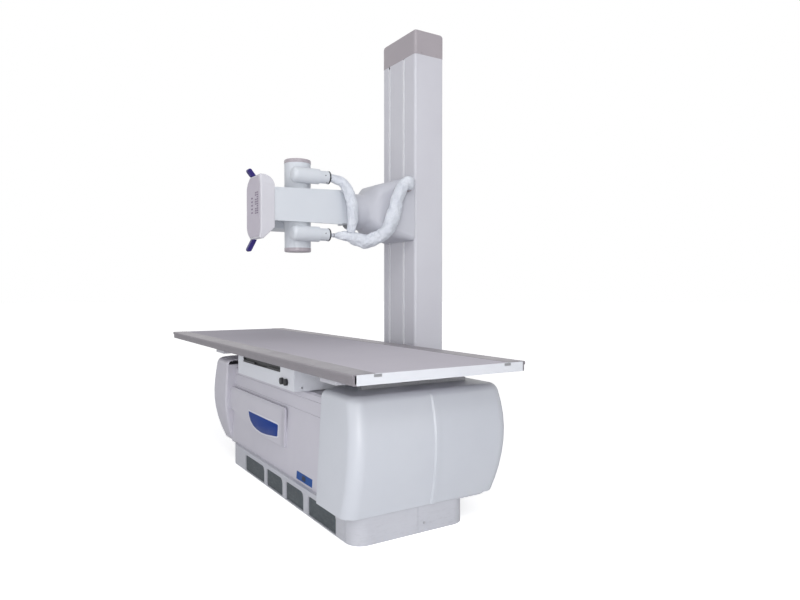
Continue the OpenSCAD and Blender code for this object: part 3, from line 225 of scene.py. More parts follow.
def weave_group():
    """Over-and-under threads of a fine plain cloth, in metres on the cloth's own map."""
    tree, given, out = new_group("plain_weave", [
        ("Vector", "Vector", None), ("Threads", "Float", 900.0), ("Slub", "Float", 0.3),
    ], [("Height", "Float"), ("Mask", "Float")])
    split = put(tree, "SeparateXYZ", Vector=given["Vector"])
    around = maths(tree, "MULTIPLY", split.outputs["X"], given["Threads"])
    along = maths(tree, "MULTIPLY", split.outputs["Y"], given["Threads"])
    warp = maths(tree, "SINE", maths(tree, "MULTIPLY", around, math.tau))
    weft = maths(tree, "SINE", maths(tree, "MULTIPLY", along, math.tau))
    checks = maths(tree, "MULTIPLY", warp, weft)
    slub = put(tree, "TexNoise", Vector=given["Vector"], Scale=120.0, Detail=3.0).outputs["Fac"]
    height = maths(tree, "ADD", maths(tree, "MULTIPLY", checks, 0.5),
                   maths(tree, "MULTIPLY", slub, given["Slub"]))
    tree.links.new(height, out["Height"])
    # The mask is low in the hollows between threads; the sleeve paints shade there with it.
    tree.links.new(spread(tree, height, -0.4, 0.8, 0.0, 1.0), out["Mask"])
    return tree


CLOUDY = cloudy_tone_group()
GRAIN = mould_grain_group()
HANDLING = handling_group()
DRAWN = drawn_lines_group()
SCUFFS = floor_scuffs_group()
WEAVE = weave_group()


# ---------------------------------------------------------------- materials

def use(tree, group, **inputs):
    """A shader group placed in a material with its own values."""
    node = tree.nodes.new("ShaderNodeGroup")
    node.node_tree = group
    return feed(tree, node, inputs).outputs


def blank(name):
    """A material with its Principled shader and Object coordinates."""
    material = bpy.data.materials.new(name)
    material.use_nodes = True
    tree = material.node_tree
    shader = tree.nodes["Principled BSDF"]
    place = tree.nodes.new("ShaderNodeTexCoord").outputs["Object"]
    return material, tree, shader, place


def bump(tree, shader, height, distance, strength=1.0):
    """A height turned into the shader's normal."""
    node = put(tree, "Bump", Height=height, Distance=distance, Strength=strength)
    tree.links.new(node.outputs["Normal"], shader.inputs["Normal"])


def moulded(name, light, dark, smooth=0.34, rough=0.46, grain=700.0, depth=0.00004, coat=0.0, patch=2.2,
            wave=0.4, scuffs=0.0, shine=0.5):
    """Sprayed or moulded skin: near-even colour, fine grain and handled patches."""
    material, tree, shader, place = blank(name)
    tone = use(tree, CLOUDY, Vector=place, Light=light, Dark=dark, Patch_Size=patch)["Colour"]
    if scuffs:
        marks = use(tree, SCUFFS, Vector=place, Amount=scuffs)["Mask"]
        mix = put(tree, "Mix", {"data_type": "RGBA"}, Factor=marks)
        tree.links.new(tone, mix.inputs[6])
        mix.inputs[7].default_value = tint(128, 126, 132)
        tone = mix.outputs[2]
    tree.links.new(tone, shader.inputs["Base Color"])
    tree.links.new(use(tree, HANDLING, Vector=place, Smooth=smooth, Rough=rough)["Roughness"],
                   shader.inputs["Roughness"])
    bump(tree, shader, use(tree, GRAIN, Vector=place, Size=grain, Wave=wave)["Height"], depth)
    shader.inputs["Coat Weight"].default_value = coat
    shader.inputs["Coat Roughness"].default_value = 0.12
    shader.inputs["Specular IOR Level"].default_value = shine
    return material


def drawn_metal(name, light, dark, stretch, smooth=0.26, rough=0.42, metallic=1.0, size=26.0, depth=0.00003):
    """Brushed or drawn metal with hairlines along one direction."""
    material, tree, shader, place = blank(name)
    lines = use(tree, DRAWN, Vector=place, Stretch=stretch, Size=size)
    mix = put(tree, "Mix", {"data_type": "RGBA"}, Factor=lines["Mask"])
    mix.inputs[6].default_value = light
    mix.inputs[7].default_value = dark
    tree.links.new(mix.outputs[2], shader.inputs["Base Color"])
    tree.links.new(use(tree, HANDLING, Vector=place, Smooth=smooth, Rough=rough, Size=9.0)["Roughness"],
                   shader.inputs["Roughness"])
    bump(tree, shader, lines["Height"], depth)
    shader.inputs["Metallic"].default_value = metallic
    return material


def speckled(name, base, fleck, size=420.0):
    """Dark granular moulding with pale grains."""
    material, tree, shader, place = blank(name)
    cells = put(tree, "TexVoronoi", Vector=place, Scale=size).outputs["Distance"]
    spots = spread(tree, cells, 0.18, 0.32, 1.0, 0.0)
    drift = put(tree, "TexNoise", Vector=place, Scale=60.0, Detail=5.0).outputs["Fac"]
    mask = maths(tree, "MULTIPLY", spots, spread(tree, drift, 0.42, 0.62, 0.0, 0.85))
    mix = put(tree, "Mix", {"data_type": "RGBA"}, Factor=mask)
    mix.inputs[6].default_value = base
    mix.inputs[7].default_value = fleck
    marks = use(tree, SCUFFS, Vector=place, Amount=0.6)["Mask"]
    dusty = put(tree, "Mix", {"data_type": "RGBA"}, Factor=marks)
    tree.links.new(mix.outputs[2], dusty.inputs[6])
    dusty.inputs[7].default_value = tint(120, 124, 126)
    tree.links.new(dusty.outputs[2], shader.inputs["Base Color"])
    tree.links.new(use(tree, HANDLING, Vector=place, Smooth=0.5, Rough=0.7)["Roughness"],
                   shader.inputs["Roughness"])
    bump(tree, shader, maths(tree, "ADD", spots, drift), 0.00012)
    return material


def sleeve_fabric(name):
    """White woven sleeve, softly creased, with painted shade in the weave's hollows."""
    material, tree, shader, place = blank(name)
    flat = tree.nodes.new("ShaderNodeUVMap").outputs["UV"]
    weave = use(tree, WEAVE, Vector=flat, Threads=820.0)
    tone = use(tree, CLOUDY, Vector=place, Light=tint(234, 237, 242), Dark=tint(214, 218, 227),
               Patch_Size=26.0)["Colour"]
    # Painted shade: where the weave's threads dip, the colour is mixed toward a darker grey-blue, standing in
    # for shade between the threads.
    shade = put(tree, "Mix", {"data_type": "RGBA"}, Factor=weave["Mask"])
    tree.links.new(tone, shade.inputs[7])
    shade.inputs[6].default_value = tint(200, 204, 214)
    tree.links.new(shade.outputs[2], shader.inputs["Base Color"])
    tree.links.new(use(tree, HANDLING, Vector=place, Smooth=0.62, Rough=0.82)["Roughness"],
                   shader.inputs["Roughness"])
    creases = put(tree, "TexNoise", Vector=place, Scale=55.0, Detail=4.0, Roughness=0.6,
                  Distortion=1.4).outputs["Fac"]
    small = put(tree, "Bump", Height=weave["Height"], Distance=0.00018, Strength=0.7)
    folds = put(tree, "Bump", Height=creases, Distance=0.004, Strength=0.8, Normal=small.outputs["Normal"])
    tree.links.new(folds.outputs["Normal"], shader.inputs["Normal"])
    shader.inputs["Sheen Weight"].default_value = 0.25
    shader.inputs["Sheen Roughness"].default_value = 0.4
    return material


def twisted_rope(name):
    """Steel rope with its laid strands, dark in the grooves between strands as painted shade and pale on
    their crowns as painted highlight.
    """
    material, tree, shader, place = blank(name)
    turned = put(tree, "Mapping", Vector=place, Rotation=(0, math.radians(28), 0)).outputs[0]
    strands = put(tree, "TexWave", {"wave_type": "BANDS", "bands_direction": "Z"}, Vector=turned,
                  Scale=160.0, Distortion=0.4).outputs["Fac"]
    # Painted shade and highlight: the strand bands run from dark steel in the grooves to pale steel on the
    # crowns.
    mix = put(tree, "Mix", {"data_type": "RGBA"}, Factor=strands)
    mix.inputs[6].default_value = tint(70, 70, 72)
    mix.inputs[7].default_value = tint(178, 178, 180)
    tree.links.new(mix.outputs[2], shader.inputs["Base Color"])
    tree.links.new(spread(tree, strands, 0.0, 1.0, 0.55, 0.3), shader.inputs["Roughness"])
    bump(tree, shader, strands, 0.0006)
    shader.inputs["Metallic"].default_value = 1.0
    return material


M = {
    # Painted light: the long and left covers take a warmer lavender tint, the shade hue of their front faces,
    # and the right end covers a cooler, slightly lighter tint, the hue of the side the lamps face.
    "cover": moulded("cover_painted_shade_tint", tint(198, 196, 205), tint(192, 190, 200), scuffs=0.0),
    "end_cover": moulded("end_cover_painted_light_tint", tint(197, 200, 207), tint(191, 194, 202), smooth=0.3, rough=0.4),
    "skirt": moulded("skirt_pearl", tint(188, 189, 196), tint(182, 183, 191), scuffs=0.35),
    "column": moulded("column_spray", tint(206, 206, 213), tint(201, 200, 208), smooth=0.36, rough=0.44,
                      grain=900.0),
    "column_cap": moulded("cap_warm_grey", tint(172, 165, 170), tint(163, 156, 162), smooth=0.4, rough=0.5),
    "tube_cap": moulded("tube_cap_grey", tint(176, 168, 174), tint(166, 158, 165), smooth=0.26, rough=0.36),
    "head": moulded("head_enamel", tint(209, 213, 219), tint(203, 207, 214), smooth=0.3, rough=0.42),
    "console": moulded("console_shell", tint(203, 202, 209), tint(196, 195, 202), smooth=0.36, rough=0.46),
    "console_face": moulded("console_membrane", tint(186, 180, 192), tint(180, 174, 186), smooth=0.42,
                            rough=0.5, grain=1200.0),
    "arm": moulded("arm_casing", tint(194, 195, 203), tint(187, 188, 197), smooth=0.38, rough=0.48),
    "bucky": moulded("bucky_enamel", tint(214, 216, 223), tint(208, 210, 218), smooth=0.3, rough=0.4),
    "tabletop": moulded("tabletop_laminate", tint(203, 199, 207), tint(198, 194, 202), smooth=0.42, rough=0.5,
                        grain=900.0, depth=0.00001, patch=1.2, wave=0.0, shine=0.0),
    "end_cap": moulded("end_cap_white", tint(220, 222, 228), tint(213, 215, 222), smooth=0.34, rough=0.44),
    "rail": drawn_metal("rail_anodised", tint(154, 149, 155), tint(142, 138, 144), (1, 60, 60), smooth=0.36,
                        rough=0.5, metallic=0.55),
    "clip": drawn_metal("clip_grey", tint(172, 172, 176), tint(158, 158, 162), (60, 1, 60), metallic=0.6),
    "floor_rail": drawn_metal("floor_rail_anodised", tint(178, 176, 178), tint(160, 158, 160), (1, 60, 60),
                              metallic=0.7),
    "toe": speckled("toe_speckle", tint(66, 73, 78), tint(106, 114, 118)),
    "badge": moulded("badge_enamel", tint(0, 54, 136), tint(0, 48, 127), smooth=0.34, rough=0.44,
                     depth=0.00001, shine=0.2),
    "rim": moulded("badge_rim", tint(214, 214, 224), tint(208, 208, 219), smooth=0.3, rough=0.4),
    "label": moulded("label_film", tint(28, 80, 150), tint(24, 72, 140), smooth=0.36, rough=0.46,
                     depth=0.00001, shine=0.2),
    "window_blue": moulded("label_window", tint(24, 38, 66), tint(20, 32, 58), smooth=0.3, rough=0.4,
                           shine=0.3),
    "carriage": moulded("carriage_paint", tint(196, 196, 203), tint(188, 188, 196), smooth=0.4, rough=0.5),
    # Painted highlight: the slit liners are near-white, standing in for light on the slits' lit cheeks.
    "strip": moulded("slit_cheek_painted_highlight", tint(247, 247, 251), tint(243, 243, 248), smooth=0.36, rough=0.46),
    "nut": moulded("nut_graphite", tint(58, 58, 64), tint(48, 48, 54), smooth=0.35, rough=0.5, shine=0.3),
    "key": moulded("key_plum", tint(118, 104, 128), tint(110, 96, 120), smooth=0.4, rough=0.5, grain=1200.0),
    "strap": moulded("strap_grey", tint(150, 150, 158), tint(140, 140, 148), smooth=0.4, rough=0.55),
    "black": moulded("black_moulding", tint(34, 34, 38), tint(26, 26, 30), smooth=0.4, rough=0.55),
    "tray": moulded("tray_black", tint(38, 38, 42), tint(30, 30, 34), smooth=0.35, rough=0.5),
    "indigo": moulded("indigo_grip", tint(48, 38, 112), tint(40, 30, 98), smooth=0.34, rough=0.46,
                      shine=0.25),
    "frame": moulded("frame_powder_coat", tint(150, 152, 156), tint(140, 142, 147), smooth=0.5, rough=0.6,
                     grain=420.0, depth=0.00008),
    "steel": drawn_metal("bright_steel", tint(196, 196, 199), tint(170, 170, 174), (60, 60, 1)),
    "rope": twisted_rope("rope_steel"),
    "iron": moulded("cast_iron", tint(92, 92, 94), tint(74, 74, 77), smooth=0.6, rough=0.75, grain=160.0,
                    depth=0.0003),
    "sleeve": sleeve_fabric("sleeve_cloth"),
    "slot_dark": moulded("slot_dark", tint(46, 46, 50), tint(36, 36, 40), smooth=0.5, rough=0.65),
}


# ---------------------------------------------------------------- mesh helpers

def piece_from(name, mesh, body, material=None):
    """A finished piece at the origin that rides on its body."""
    piece = bpy.data.objects.new(name, mesh)
    scene.collection.objects.link(piece)
    if material:
        mesh.materials.clear()
        mesh.materials.append(M[material])
    if body:
        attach(piece, body)
    return piece


def smooth_by_angle(mesh, degrees):
    """Smooth faces, with the edges sharper than the angle kept crisp."""
    work = bmesh.new()
    work.from_mesh(mesh)
    for face in work.faces:
        face.smooth = True
    limit = math.radians(degrees)
    for edge in work.edges:
        edge.smooth = len(edge.link_faces) == 2 and edge.calc_face_angle(0) < limit
    work.to_mesh(mesh)
    work.free()


def merged_copy(node):
    """A copy of the node's mesh with its doubles merged and its flat faces whole."""
    mesh = nodes[node].data.copy()
    mesh.name = node + "_skin"
    work = bmesh.new()
    work.from_mesh(mesh)
    bmesh.ops.remove_doubles(work, verts=work.verts, dist=0.00002)
    bmesh.ops.dissolve_limit(work, angle_limit=math.radians(0.6), verts=work.verts, edges=work.edges)
    work.to_mesh(mesh)
    work.free()
    return mesh


def plain(piece):
    """The piece's evaluated shape as a plain mesh, with no modifier left."""
    graph = bpy.context.evaluated_depsgraph_get()
    mesh = bpy.data.meshes.new_from_object(piece.evaluated_get(graph))
    piece.modifiers.clear()
    old = piece.data
    piece.data = mesh
    bpy.data.meshes.remove(old)
    return piece


def soft_shoulder(mesh):
    """The front panel's raised field: its small steps become one rounded shoulder."""
    work = bmesh.new()
    work.from_mesh(mesh)
    moves = {}
    for edge in work.edges:
        a, b = sorted(edge.verts, key=lambda vert: vert.co.y, reverse=True)
        if (a.co - b.co).xz.length > 0.0007:
            continue
        lows = [panel_face(vert.co.z) - vert.co.y for vert in (a, b)]
        for steps, new in (((0.0, 0.014), (0.0, 0.0105)), ((0.014, 0.019), (0.0178, 0.0178)),
                           ((0.019, 0.022), (0.022, 0.022))):
            if abs(lows[0] - steps[0]) < 0.0009 and abs(lows[1] - steps[1]) < 0.0009:
                for vert, old, depth in zip((a, b), lows, new):
                    moves[vert] = depth - old
    for vert, move in moves.items():
        vert.co.y -= move
    bmesh.ops.remove_doubles(work, verts=work.verts, dist=0.00005)
    work.to_mesh(mesh)
    work.free()


def panel_face(z):
    """How far out the set-back front panel's face lies at one height."""
    return PANEL_FOOT_Y + PANEL_LEAN * (z - SEAM_Z)


SEAM_Z, PANEL_FOOT_Y, PANEL_LEAN = 0.098, -0.287, 0.024 / 0.414


def eased(node, material, width=0.0015, segments=2, angle=32, crisp=38):
    """The node's own shape with its hard edges eased, in place of the plain solid."""
    mesh = merged_copy(node)
    if node == "front_cover":
        soft_shoulder(mesh)
    smooth_by_angle(mesh, angle)
    piece = bpy.data.objects.new(node + "_eased", mesh)
    scene.collection.objects.link(piece)
    if width:
        bevel = piece.modifiers.new("ease", "BEVEL")
        bevel.width = width
        bevel.segments = segments
        bevel.limit_method = "ANGLE"
        bevel.angle_limit = math.radians(angle)
        bevel.use_clamp_overlap = True
        plain(piece)
    smooth_by_angle(piece.data, crisp)
    level = piece.modifiers.new("flat faces stay flat", "WEIGHTED_NORMAL")
    level.keep_sharp = True
    level.weight = 90
    plain(piece)
    piece.data.materials.clear()
    piece.data.materials.append(M[material])
    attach(piece, nodes[node]["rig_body"])
    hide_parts(node)
    return piece


def finish_node(node, material):
    """The solid itself with its finish."""
    mesh = nodes[node].data
    mesh.materials.clear()
    mesh.materials.append(M[material])


# ---------------------------------------------------------------- cable sleeves

def route_points(knots, steps):
    """A smooth line through given points."""
    line = []
    for i in range(len(knots) - 1):
        a, b = knots[max(i - 1, 0)], knots[i]
        c, d = knots[i + 1], knots[min(i + 2, len(knots) - 1)]
        for k in range(steps):
            t = k / steps
            line.append((b * 2 + (c - a) * t + (a * 2 - b * 5 + c * 4 - d) * t * t
                         + (b * 3 - a - c * 3 + d) * t ** 3) * 0.5)
    line.append(knots[-1].copy())
    return line


def line_length(line):
    """The length of a line of points."""
    return sum((b - a).length for a, b in zip(line, line[1:]))


def sleeve(name, knots, seed, steps=18, sides=56):
    """A loose cloth tube along knots of x, y, z and radius, creased and a little flattened."""
    route = route_points([Vector(k) for k in knots], steps)
    line = [point.to_3d() for point in route]
    total = line_length(line)
    work = bmesh.new()
    flat = work.loops.layers.uv.new("cloth")
    side = Vector((1, 0, 0.001))
    rings, run = [], 0.0
    for i, point in enumerate(line):
        ahead = line[min(i + 1, len(line) - 1)] - line[max(i - 1, 0)]
        ahead.normalize()
        side = (side - ahead * side.dot(ahead)).normalized()
        up = ahead.cross(side)
        if i:
            run += (point - line[i - 1]).length
        share = run / total
        radius = route[i].w
        calm = min(1, share / 0.06) * min(1, (1 - share) / 0.04) * min(1, radius / 0.02)
        ring = []
        for k in range(sides):
            angle = math.tau * k / sides
            c, s = math.cos(angle), math.sin(angle)
            drift = noise.noise(Vector((run * 9, seed, 3.1))) * 2.6
            lobes = (0.10 * math.sin(2 * angle + drift + run * 7)
                     + 0.06 * math.sin(3 * angle - drift * 1.7 + run * 23))
            crease = noise.noise(Vector((c * 1.5 + seed, s * 1.5 + run * 6, run * 24)))
            ridge = 0.55 - abs(noise.noise(Vector((c * 1.9, s * 1.9 + seed, run * 38 + c * 1.2)))) * 1.9
            fine = noise.noise(Vector((c * 5.0, s * 5.0 + seed, run * 95)))
            bulge = 1 + calm * (lobes + 0.18 * crease + 0.13 * ridge + 0.05 * fine)
            ring.append(work.verts.new(point + (side * c + up * s) * radius * min(bulge, 1.14)))
        rings.append((ring, run))
    for (low, a), (high, b) in zip(rings, rings[1:]):
        for k in range(sides):
            n = (k + 1) % sides
            face = work.faces.new((low[k], low[n], high[n], high[k]))
            face.smooth = True
            for loop, (u, v) in zip(face.loops, ((k, a), (k + 1, a), (k + 1, b), (k, b))):
                loop[flat].uv = (u / sides * 0.16, v)
    for ring, first in ((rings[0][0], True), (rings[-1][0], False)):
        work.faces.new(ring[::-1] if first else ring)
    bmesh.ops.recalc_face_normals(work, faces=work.faces)
    mesh = bpy.data.meshes.new(name)
    work.to_mesh(mesh)
    work.free()
    piece = piece_from(name, mesh, None, "sleeve")
    return piece, line, total


# The tube's axis, its two cable horns, and the gland on the arm's flank.
AXIS_Z = 1.281
HORN_X, HORN_REACH = 0.164, 0.1385
GLAND = Vector((0.2311, 0.470, AXIS_Z + 0.120))
UPPER_ROUTE = [
    (HORN_X, 0.055, AXIS_Z + HORN_REACH, 0.019), (HORN_X + 0.006, 0.088, AXIS_Z + 0.133, 0.021),
    (HORN_X + 0.022, 0.125, AXIS_Z + 0.112, 0.024), (HORN_X + 0.034, 0.152, AXIS_Z + 0.062, 0.028),
    (HORN_X + 0.035, 0.166, AXIS_Z + 0.005, 0.029), (HORN_X + 0.033, 0.168, AXIS_Z - 0.051, 0.026),
    (HORN_X + 0.027, 0.166, AXIS_Z - 0.095, 0.021), (HORN_X + 0.020, 0.164, AXIS_Z - 0.120, 0.019)]
LOWER_ROUTE = [
    (HORN_X, 0.055, AXIS_Z - HORN_REACH, 0.014), (HORN_X + 0.001, 0.080, AXIS_Z - 0.140, 0.009),
    (HORN_X + 0.004, 0.104, AXIS_Z - 0.140, 0.017), (HORN_X + 0.010, 0.138, AXIS_Z - 0.141, 0.024),
    (HORN_X + 0.022, 0.192, AXIS_Z - 0.152, 0.033), (HORN_X + 0.034, 0.240, AXIS_Z - 0.165, 0.035),
    (HORN_X + 0.054, 0.292, AXIS_Z - 0.146, 0.034), (HORN_X + 0.084, 0.336, AXIS_Z - 0.108, 0.033),
    (HORN_X + 0.095, 0.362, AXIS_Z - 0.044, 0.032), (HORN_X + 0.097, 0.382, AXIS_Z + 0.024, 0.031),
    (HORN_X + 0.100, 0.406, AXIS_Z + 0.092, 0.029), (HORN_X + 0.106, 0.436, AXIS_Z + 0.136, 0.024),
    (GLAND.x + 0.045, GLAND.y - 0.020, GLAND.z + 0.020, 0.022),
    (GLAND.x + 0.035, GLAND.y - 0.0061, GLAND.z + 0.001, 0.020),
    (GLAND.x + 0.0121, GLAND.y - 0.0021, GLAND.z, 0.018)]


def lay_sleeves():
    """Both high-voltage cables' sleeves, from the head's plugs to each other and to the arm."""
    for name, route, seed, node, diameter in [
        ("upper_sleeve", UPPER_ROUTE, 2.3, "hv_cable_upper", 0.05),
        ("lower_sleeve", LOWER_ROUTE, 7.9, "hv_cable_lower", 0.062),
    ]:
        piece, line, length = sleeve(name, route, seed)
        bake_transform(piece)
        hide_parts(node)


lay_sleeves()


# ---------------------------------------------------------------- covers and housings

for node, material, width in [
    ("floor_skirt", "skirt", 0.002), ("toe_panels", "toe", 0.0015),
    ("front_cover", "cover", 0.002), ("rear_cover", "cover", 0.002),
    ("right_front_cover", "end_cover", 0.0015), ("right_rear_cover", "end_cover", 0.0015),
    ("left_front_cover", "cover", 0.0015), ("left_rear_cover", "cover", 0.0015),
    ("badge_plate", "badge", 0.0012), ("label_plate", "label", 0.0006),
    ("tabletop_panel", "tabletop", 0.0008), ("front_rail", "rail", 0.0006), ("rear_rail", "rail", 0.0006),
    ("right_end_cap", "end_cap", 0.001), ("left_end_cap", "end_cap", 0.001), ("clip_tabs", "clip", 0.0005),
    ("bucky_housing", "bucky", 0.001), ("grid_plate", "bucky", 0.0008), ("cassette_tray", "tray", 0.0005),
    ("cross_carriage", "carriage", 0.001), ("trolley_cover", "cover", 0.002),
    ("column_post", "column", 0.0004), ("column_cap", "column_cap", 0.002),
    ("arm_cover", "arm", 0.0), ("cable_gland", "column_cap", 0.001),
    ("head_yoke", "head", 0.0012), ("head_cover", "head", 0.0012),
    ("tube_housing", "head", 0.002), ("upper_tube_cap", "tube_cap", 0.0), ("lower_tube_cap", "tube_cap", 0.0),
    ("cable_plugs", "head", 0.0015), ("console_body", "console", 0.006),
    ("console_panel", "console_face", 0.0008),
    ("console_handles", "indigo", 0.002), ("collimator_body", "head", 0.0015),
    ("upper_field_knob", "black", 0.0008), ("lower_field_knob", "black", 0.0008),
    ("left_lock_knob", "black", 0.0008), ("right_lock_knob", "black", 0.0008),
    ("lamp_button", "indigo", 0.0008), ("counterweight", "iron", 0.003), ("floor_rail", "floor_rail", 0.0008),
    ("rail_stops", "black", 0.002), ("guide_pads", "black", 0.0008),
]:
    eased(node, material, width)

for node, material in [
    ("base_frame", "frame"), ("bucky_rails", "steel"), ("cross_rails", "steel"), ("cover_screws", "steel"),
    ("bucky_screws", "steel"), ("cap_screws", "column_cap"), ("trolley_frame", "frame"),
    ("pulley_bracket", "frame"), ("lift_rope", "rope"), ("left_wheelset", "steel"),
    ("right_wheelset", "steel"), ("rope_pulley", "steel"), ("inner_carriage", "frame"), ("arm_beam", "frame"),
]:
    finish_node(node, material)


# ---------------------------------------------------------------- small details

def ring_tree():
    """Geometry Nodes: one block repeated round a circle, its first side facing outwards."""
    tree = bpy.data.node_groups.new("ring_of_blocks", "GeometryNodeTree")
    face = tree.interface
    face.new_socket("Count", in_out="INPUT", socket_type="NodeSocketInt")
    face.new_socket("Radius", in_out="INPUT", socket_type="NodeSocketFloat")
    face.new_socket("Block", in_out="INPUT", socket_type="NodeSocketVector")
    face.new_socket("Material", in_out="INPUT", socket_type="NodeSocketMaterial")
    face.new_socket("Geometry", in_out="OUTPUT", socket_type="NodeSocketGeometry")
    given = tree.nodes.new("NodeGroupInput").outputs
    out = tree.nodes.new("NodeGroupOutput").inputs
    circle = tree.nodes.new("GeometryNodeMeshCircle")
    cube = tree.nodes.new("GeometryNodeMeshCube")
    place = tree.nodes.new("GeometryNodeInputPosition")
    turn = tree.nodes.new("FunctionNodeAlignRotationToVector")
    turn.axis = "X"
    copies = tree.nodes.new("GeometryNodeInstanceOnPoints")
    real = tree.nodes.new("GeometryNodeRealizeInstances")
    paint = tree.nodes.new("GeometryNodeSetMaterial")
    for start, end in [
        (given["Count"], circle.inputs["Vertices"]), (given["Radius"], circle.inputs["Radius"]),
        (given["Block"], cube.inputs["Size"]), (place.outputs[0], turn.inputs["Vector"]),
        (circle.outputs["Mesh"], copies.inputs["Points"]), (cube.outputs["Mesh"], copies.inputs["Instance"]),
        (turn.outputs["Rotation"], copies.inputs["Rotation"]), (copies.outputs[0], real.inputs[0]),
        (real.outputs[0], paint.inputs["Geometry"]), (given["Material"], paint.inputs["Material"]),
        (paint.outputs[0], out["Geometry"]),
    ]:
        tree.links.new(start, end)
    return tree


RING = ring_tree()


def ring_of_blocks(count, radius, block, material, centre):
    """The repeated blocks as a plain mesh round an axis along Y."""
    piece = bpy.data.objects.new("ring", bpy.data.meshes.new("ring"))
    scene.collection.objects.link(piece)
    nodes_on = piece.modifiers.new("ring", "NODES")
    nodes_on.node_group = RING
    values = {"Count": count, "Radius": radius, "Block": block, "Material": M[material]}
    for item in RING.interface.items_tree:
        if item.in_out == "INPUT":
            nodes_on[item.identifier] = values[item.name]
    graph = bpy.context.evaluated_depsgraph_get()
    mesh = bpy.data.meshes.new_from_object(piece.evaluated_get(graph))
    bpy.data.objects.remove(piece)
    mesh.transform(Matrix.Translation(Vector(centre)) @ Matrix.Rotation(math.radians(90), 4, "X"))
    return mesh


def joined(name, meshes, body, material):
    """Several small meshes of one piece's detail, in one object."""
    work = bmesh.new()
    for mesh in meshes:
        work.from_mesh(mesh)
        bpy.data.meshes.remove(mesh)
    bmesh.ops.recalc_face_normals(work, faces=work.faces)
    mesh = bpy.data.meshes.new(name)
    work.to_mesh(mesh)
    work.free()
    return piece_from(name, mesh, body, material)


def block(low, high, ease=0.0):
    """A small box between two corners, its edges eased."""
    work = bmesh.new()
    bmesh.ops.create_cube(work, size=1.0)
    size = [b - a for a, b in zip(low, high)]
    middle = [(a + b) / 2 for a, b in zip(low, high)]
    bmesh.ops.scale(work, verts=work.verts, vec=size)
    bmesh.ops.translate(work, verts=work.verts, vec=middle)
    if ease:
        bmesh.ops.bevel(work, geom=work.edges, offset=ease, segments=2, affect="EDGES", profile=0.6)
    mesh = bpy.data.meshes.new("block")
    work.to_mesh(mesh)
    work.free()
    return mesh


def disc(centre, radius, depth, axis, sides=32):
    """A short cylinder about one axis."""
    work = bmesh.new()
    bmesh.ops.create_cone(work, cap_ends=True, segments=sides, radius1=radius, radius2=radius, depth=depth)
    turn = {"X": Matrix.Rotation(math.radians(90), 4, "Y"), "Y": Matrix.Rotation(math.radians(90), 4, "X"),
            "Z": Matrix.Identity(4)}[axis]
    bmesh.ops.transform(work, matrix=Matrix.Translation(Vector(centre)) @ turn, verts=work.verts)
    mesh = bpy.data.meshes.new("disc")
    work.to_mesh(mesh)
    work.free()
    return mesh


# Where the small details sit: console face, collimator front, field knobs, column slits and the covers' lean.
CONSOLE_Y, CONSOLE_Z = -0.291, AXIS_Z - 0.019
WINDOW_X, WINDOW_Y, WINDOW_REACH = -0.2120, -0.072, 0.060
KNOB_X, KNOB_Z_OFFSET = -0.155, 0.055
SLIT_XS, SLIT_FACE_Y, SLIT_FOOT_Z, SLIT_TOP_Z = (-0.010, 0.132), 0.5096, 0.112, 2.088


def console_details():
    """Two groups of small keys on the console's membrane."""
    keys = [block((0.094 + 0.024 * i, CONSOLE_Y - 0.0009, CONSOLE_Z + 0.062 - 0.0105 * k),
                  (0.112 + 0.024 * i, CONSOLE_Y + 0.0002, CONSOLE_Z + 0.0675 - 0.0105 * k), 0.0003)
            for i in range(2) for k in range(10) if i or k not in (2, 6)]
    keys += [block((0.044, CONSOLE_Y - 0.0009, CONSOLE_Z + 0.040 - 0.017 * k),
                   (0.062, CONSOLE_Y + 0.0002, CONSOLE_Z + 0.047 - 0.017 * k), 0.0003) for k in range(5)]
    joined("console_keys", keys, "tube_head", "key")


def plug_details():
    """Grip ribs on the plugs' nuts, their screws and the strap on the lower sleeve."""
    ribs, screws = [], []
    for z in (AXIS_Z + HORN_REACH, AXIS_Z - HORN_REACH):
        ribs.append(ring_of_blocks(30, 0.0308, (0.0012, 0.0032, 0.0062), "nut", (HORN_X, 0.0510, z)))
        screws.append(disc((HORN_X + 0.0298, 0.026, z + 0.004), 0.0028, 0.0014, "X", 20))
        screws.append(disc((HORN_X + 0.012, 0.040, z - 0.0275), 0.0026, 0.0030, "Z", 20))
    joined("nut_ribs", ribs, "tube_head", "nut")
    joined("plug_screws", screws, "tube_head", "nut")
    strap = ring_of_blocks(28, 0.0094, (0.0014, 0.0024, 0.006), "strap",
                           (HORN_X + 0.001, 0.080, AXIS_Z - 0.140))
    joined("sleeve_strap", [strap], "tube_head", "strap")


def collimator_details():
    """The window's cross lines, scale ticks round the field knobs, and grip ribs on the knobs."""
    x, y, z = WINDOW_X, WINDOW_Y, AXIS_Z
    half, reach = 0.0006, WINDOW_REACH
    lines = [block((x - 0.0004, y - reach, z - half), (x + 0.0001, y + reach, z + half)),
             block((x - 0.0004, y - half, z - reach), (x + 0.0001, y + half, z + reach))]
    joined("window_cross", lines, "collimator", "nut")
    tick, rib = (0.0030, 0.0007, 0.0005), (0.0012, 0.0018, 0.0150)
    ticks = [ring_of_blocks(24, 0.0212, tick, "nut", (KNOB_X, -0.1723, z + side * KNOB_Z_OFFSET))
             for side in (-1, 1)]
    joined("field_scales", ticks, "collimator", "nut")
    for name, body, side in (("upper_knob_ribs", "upper_field_knob", 1),
                             ("lower_knob_ribs", "lower_field_knob", -1)):
        ribs = ring_of_blocks(24, 0.0170, rib, "black", (KNOB_X, -0.181, z + side * KNOB_Z_OFFSET))
        joined(name, [ribs], body, "black")


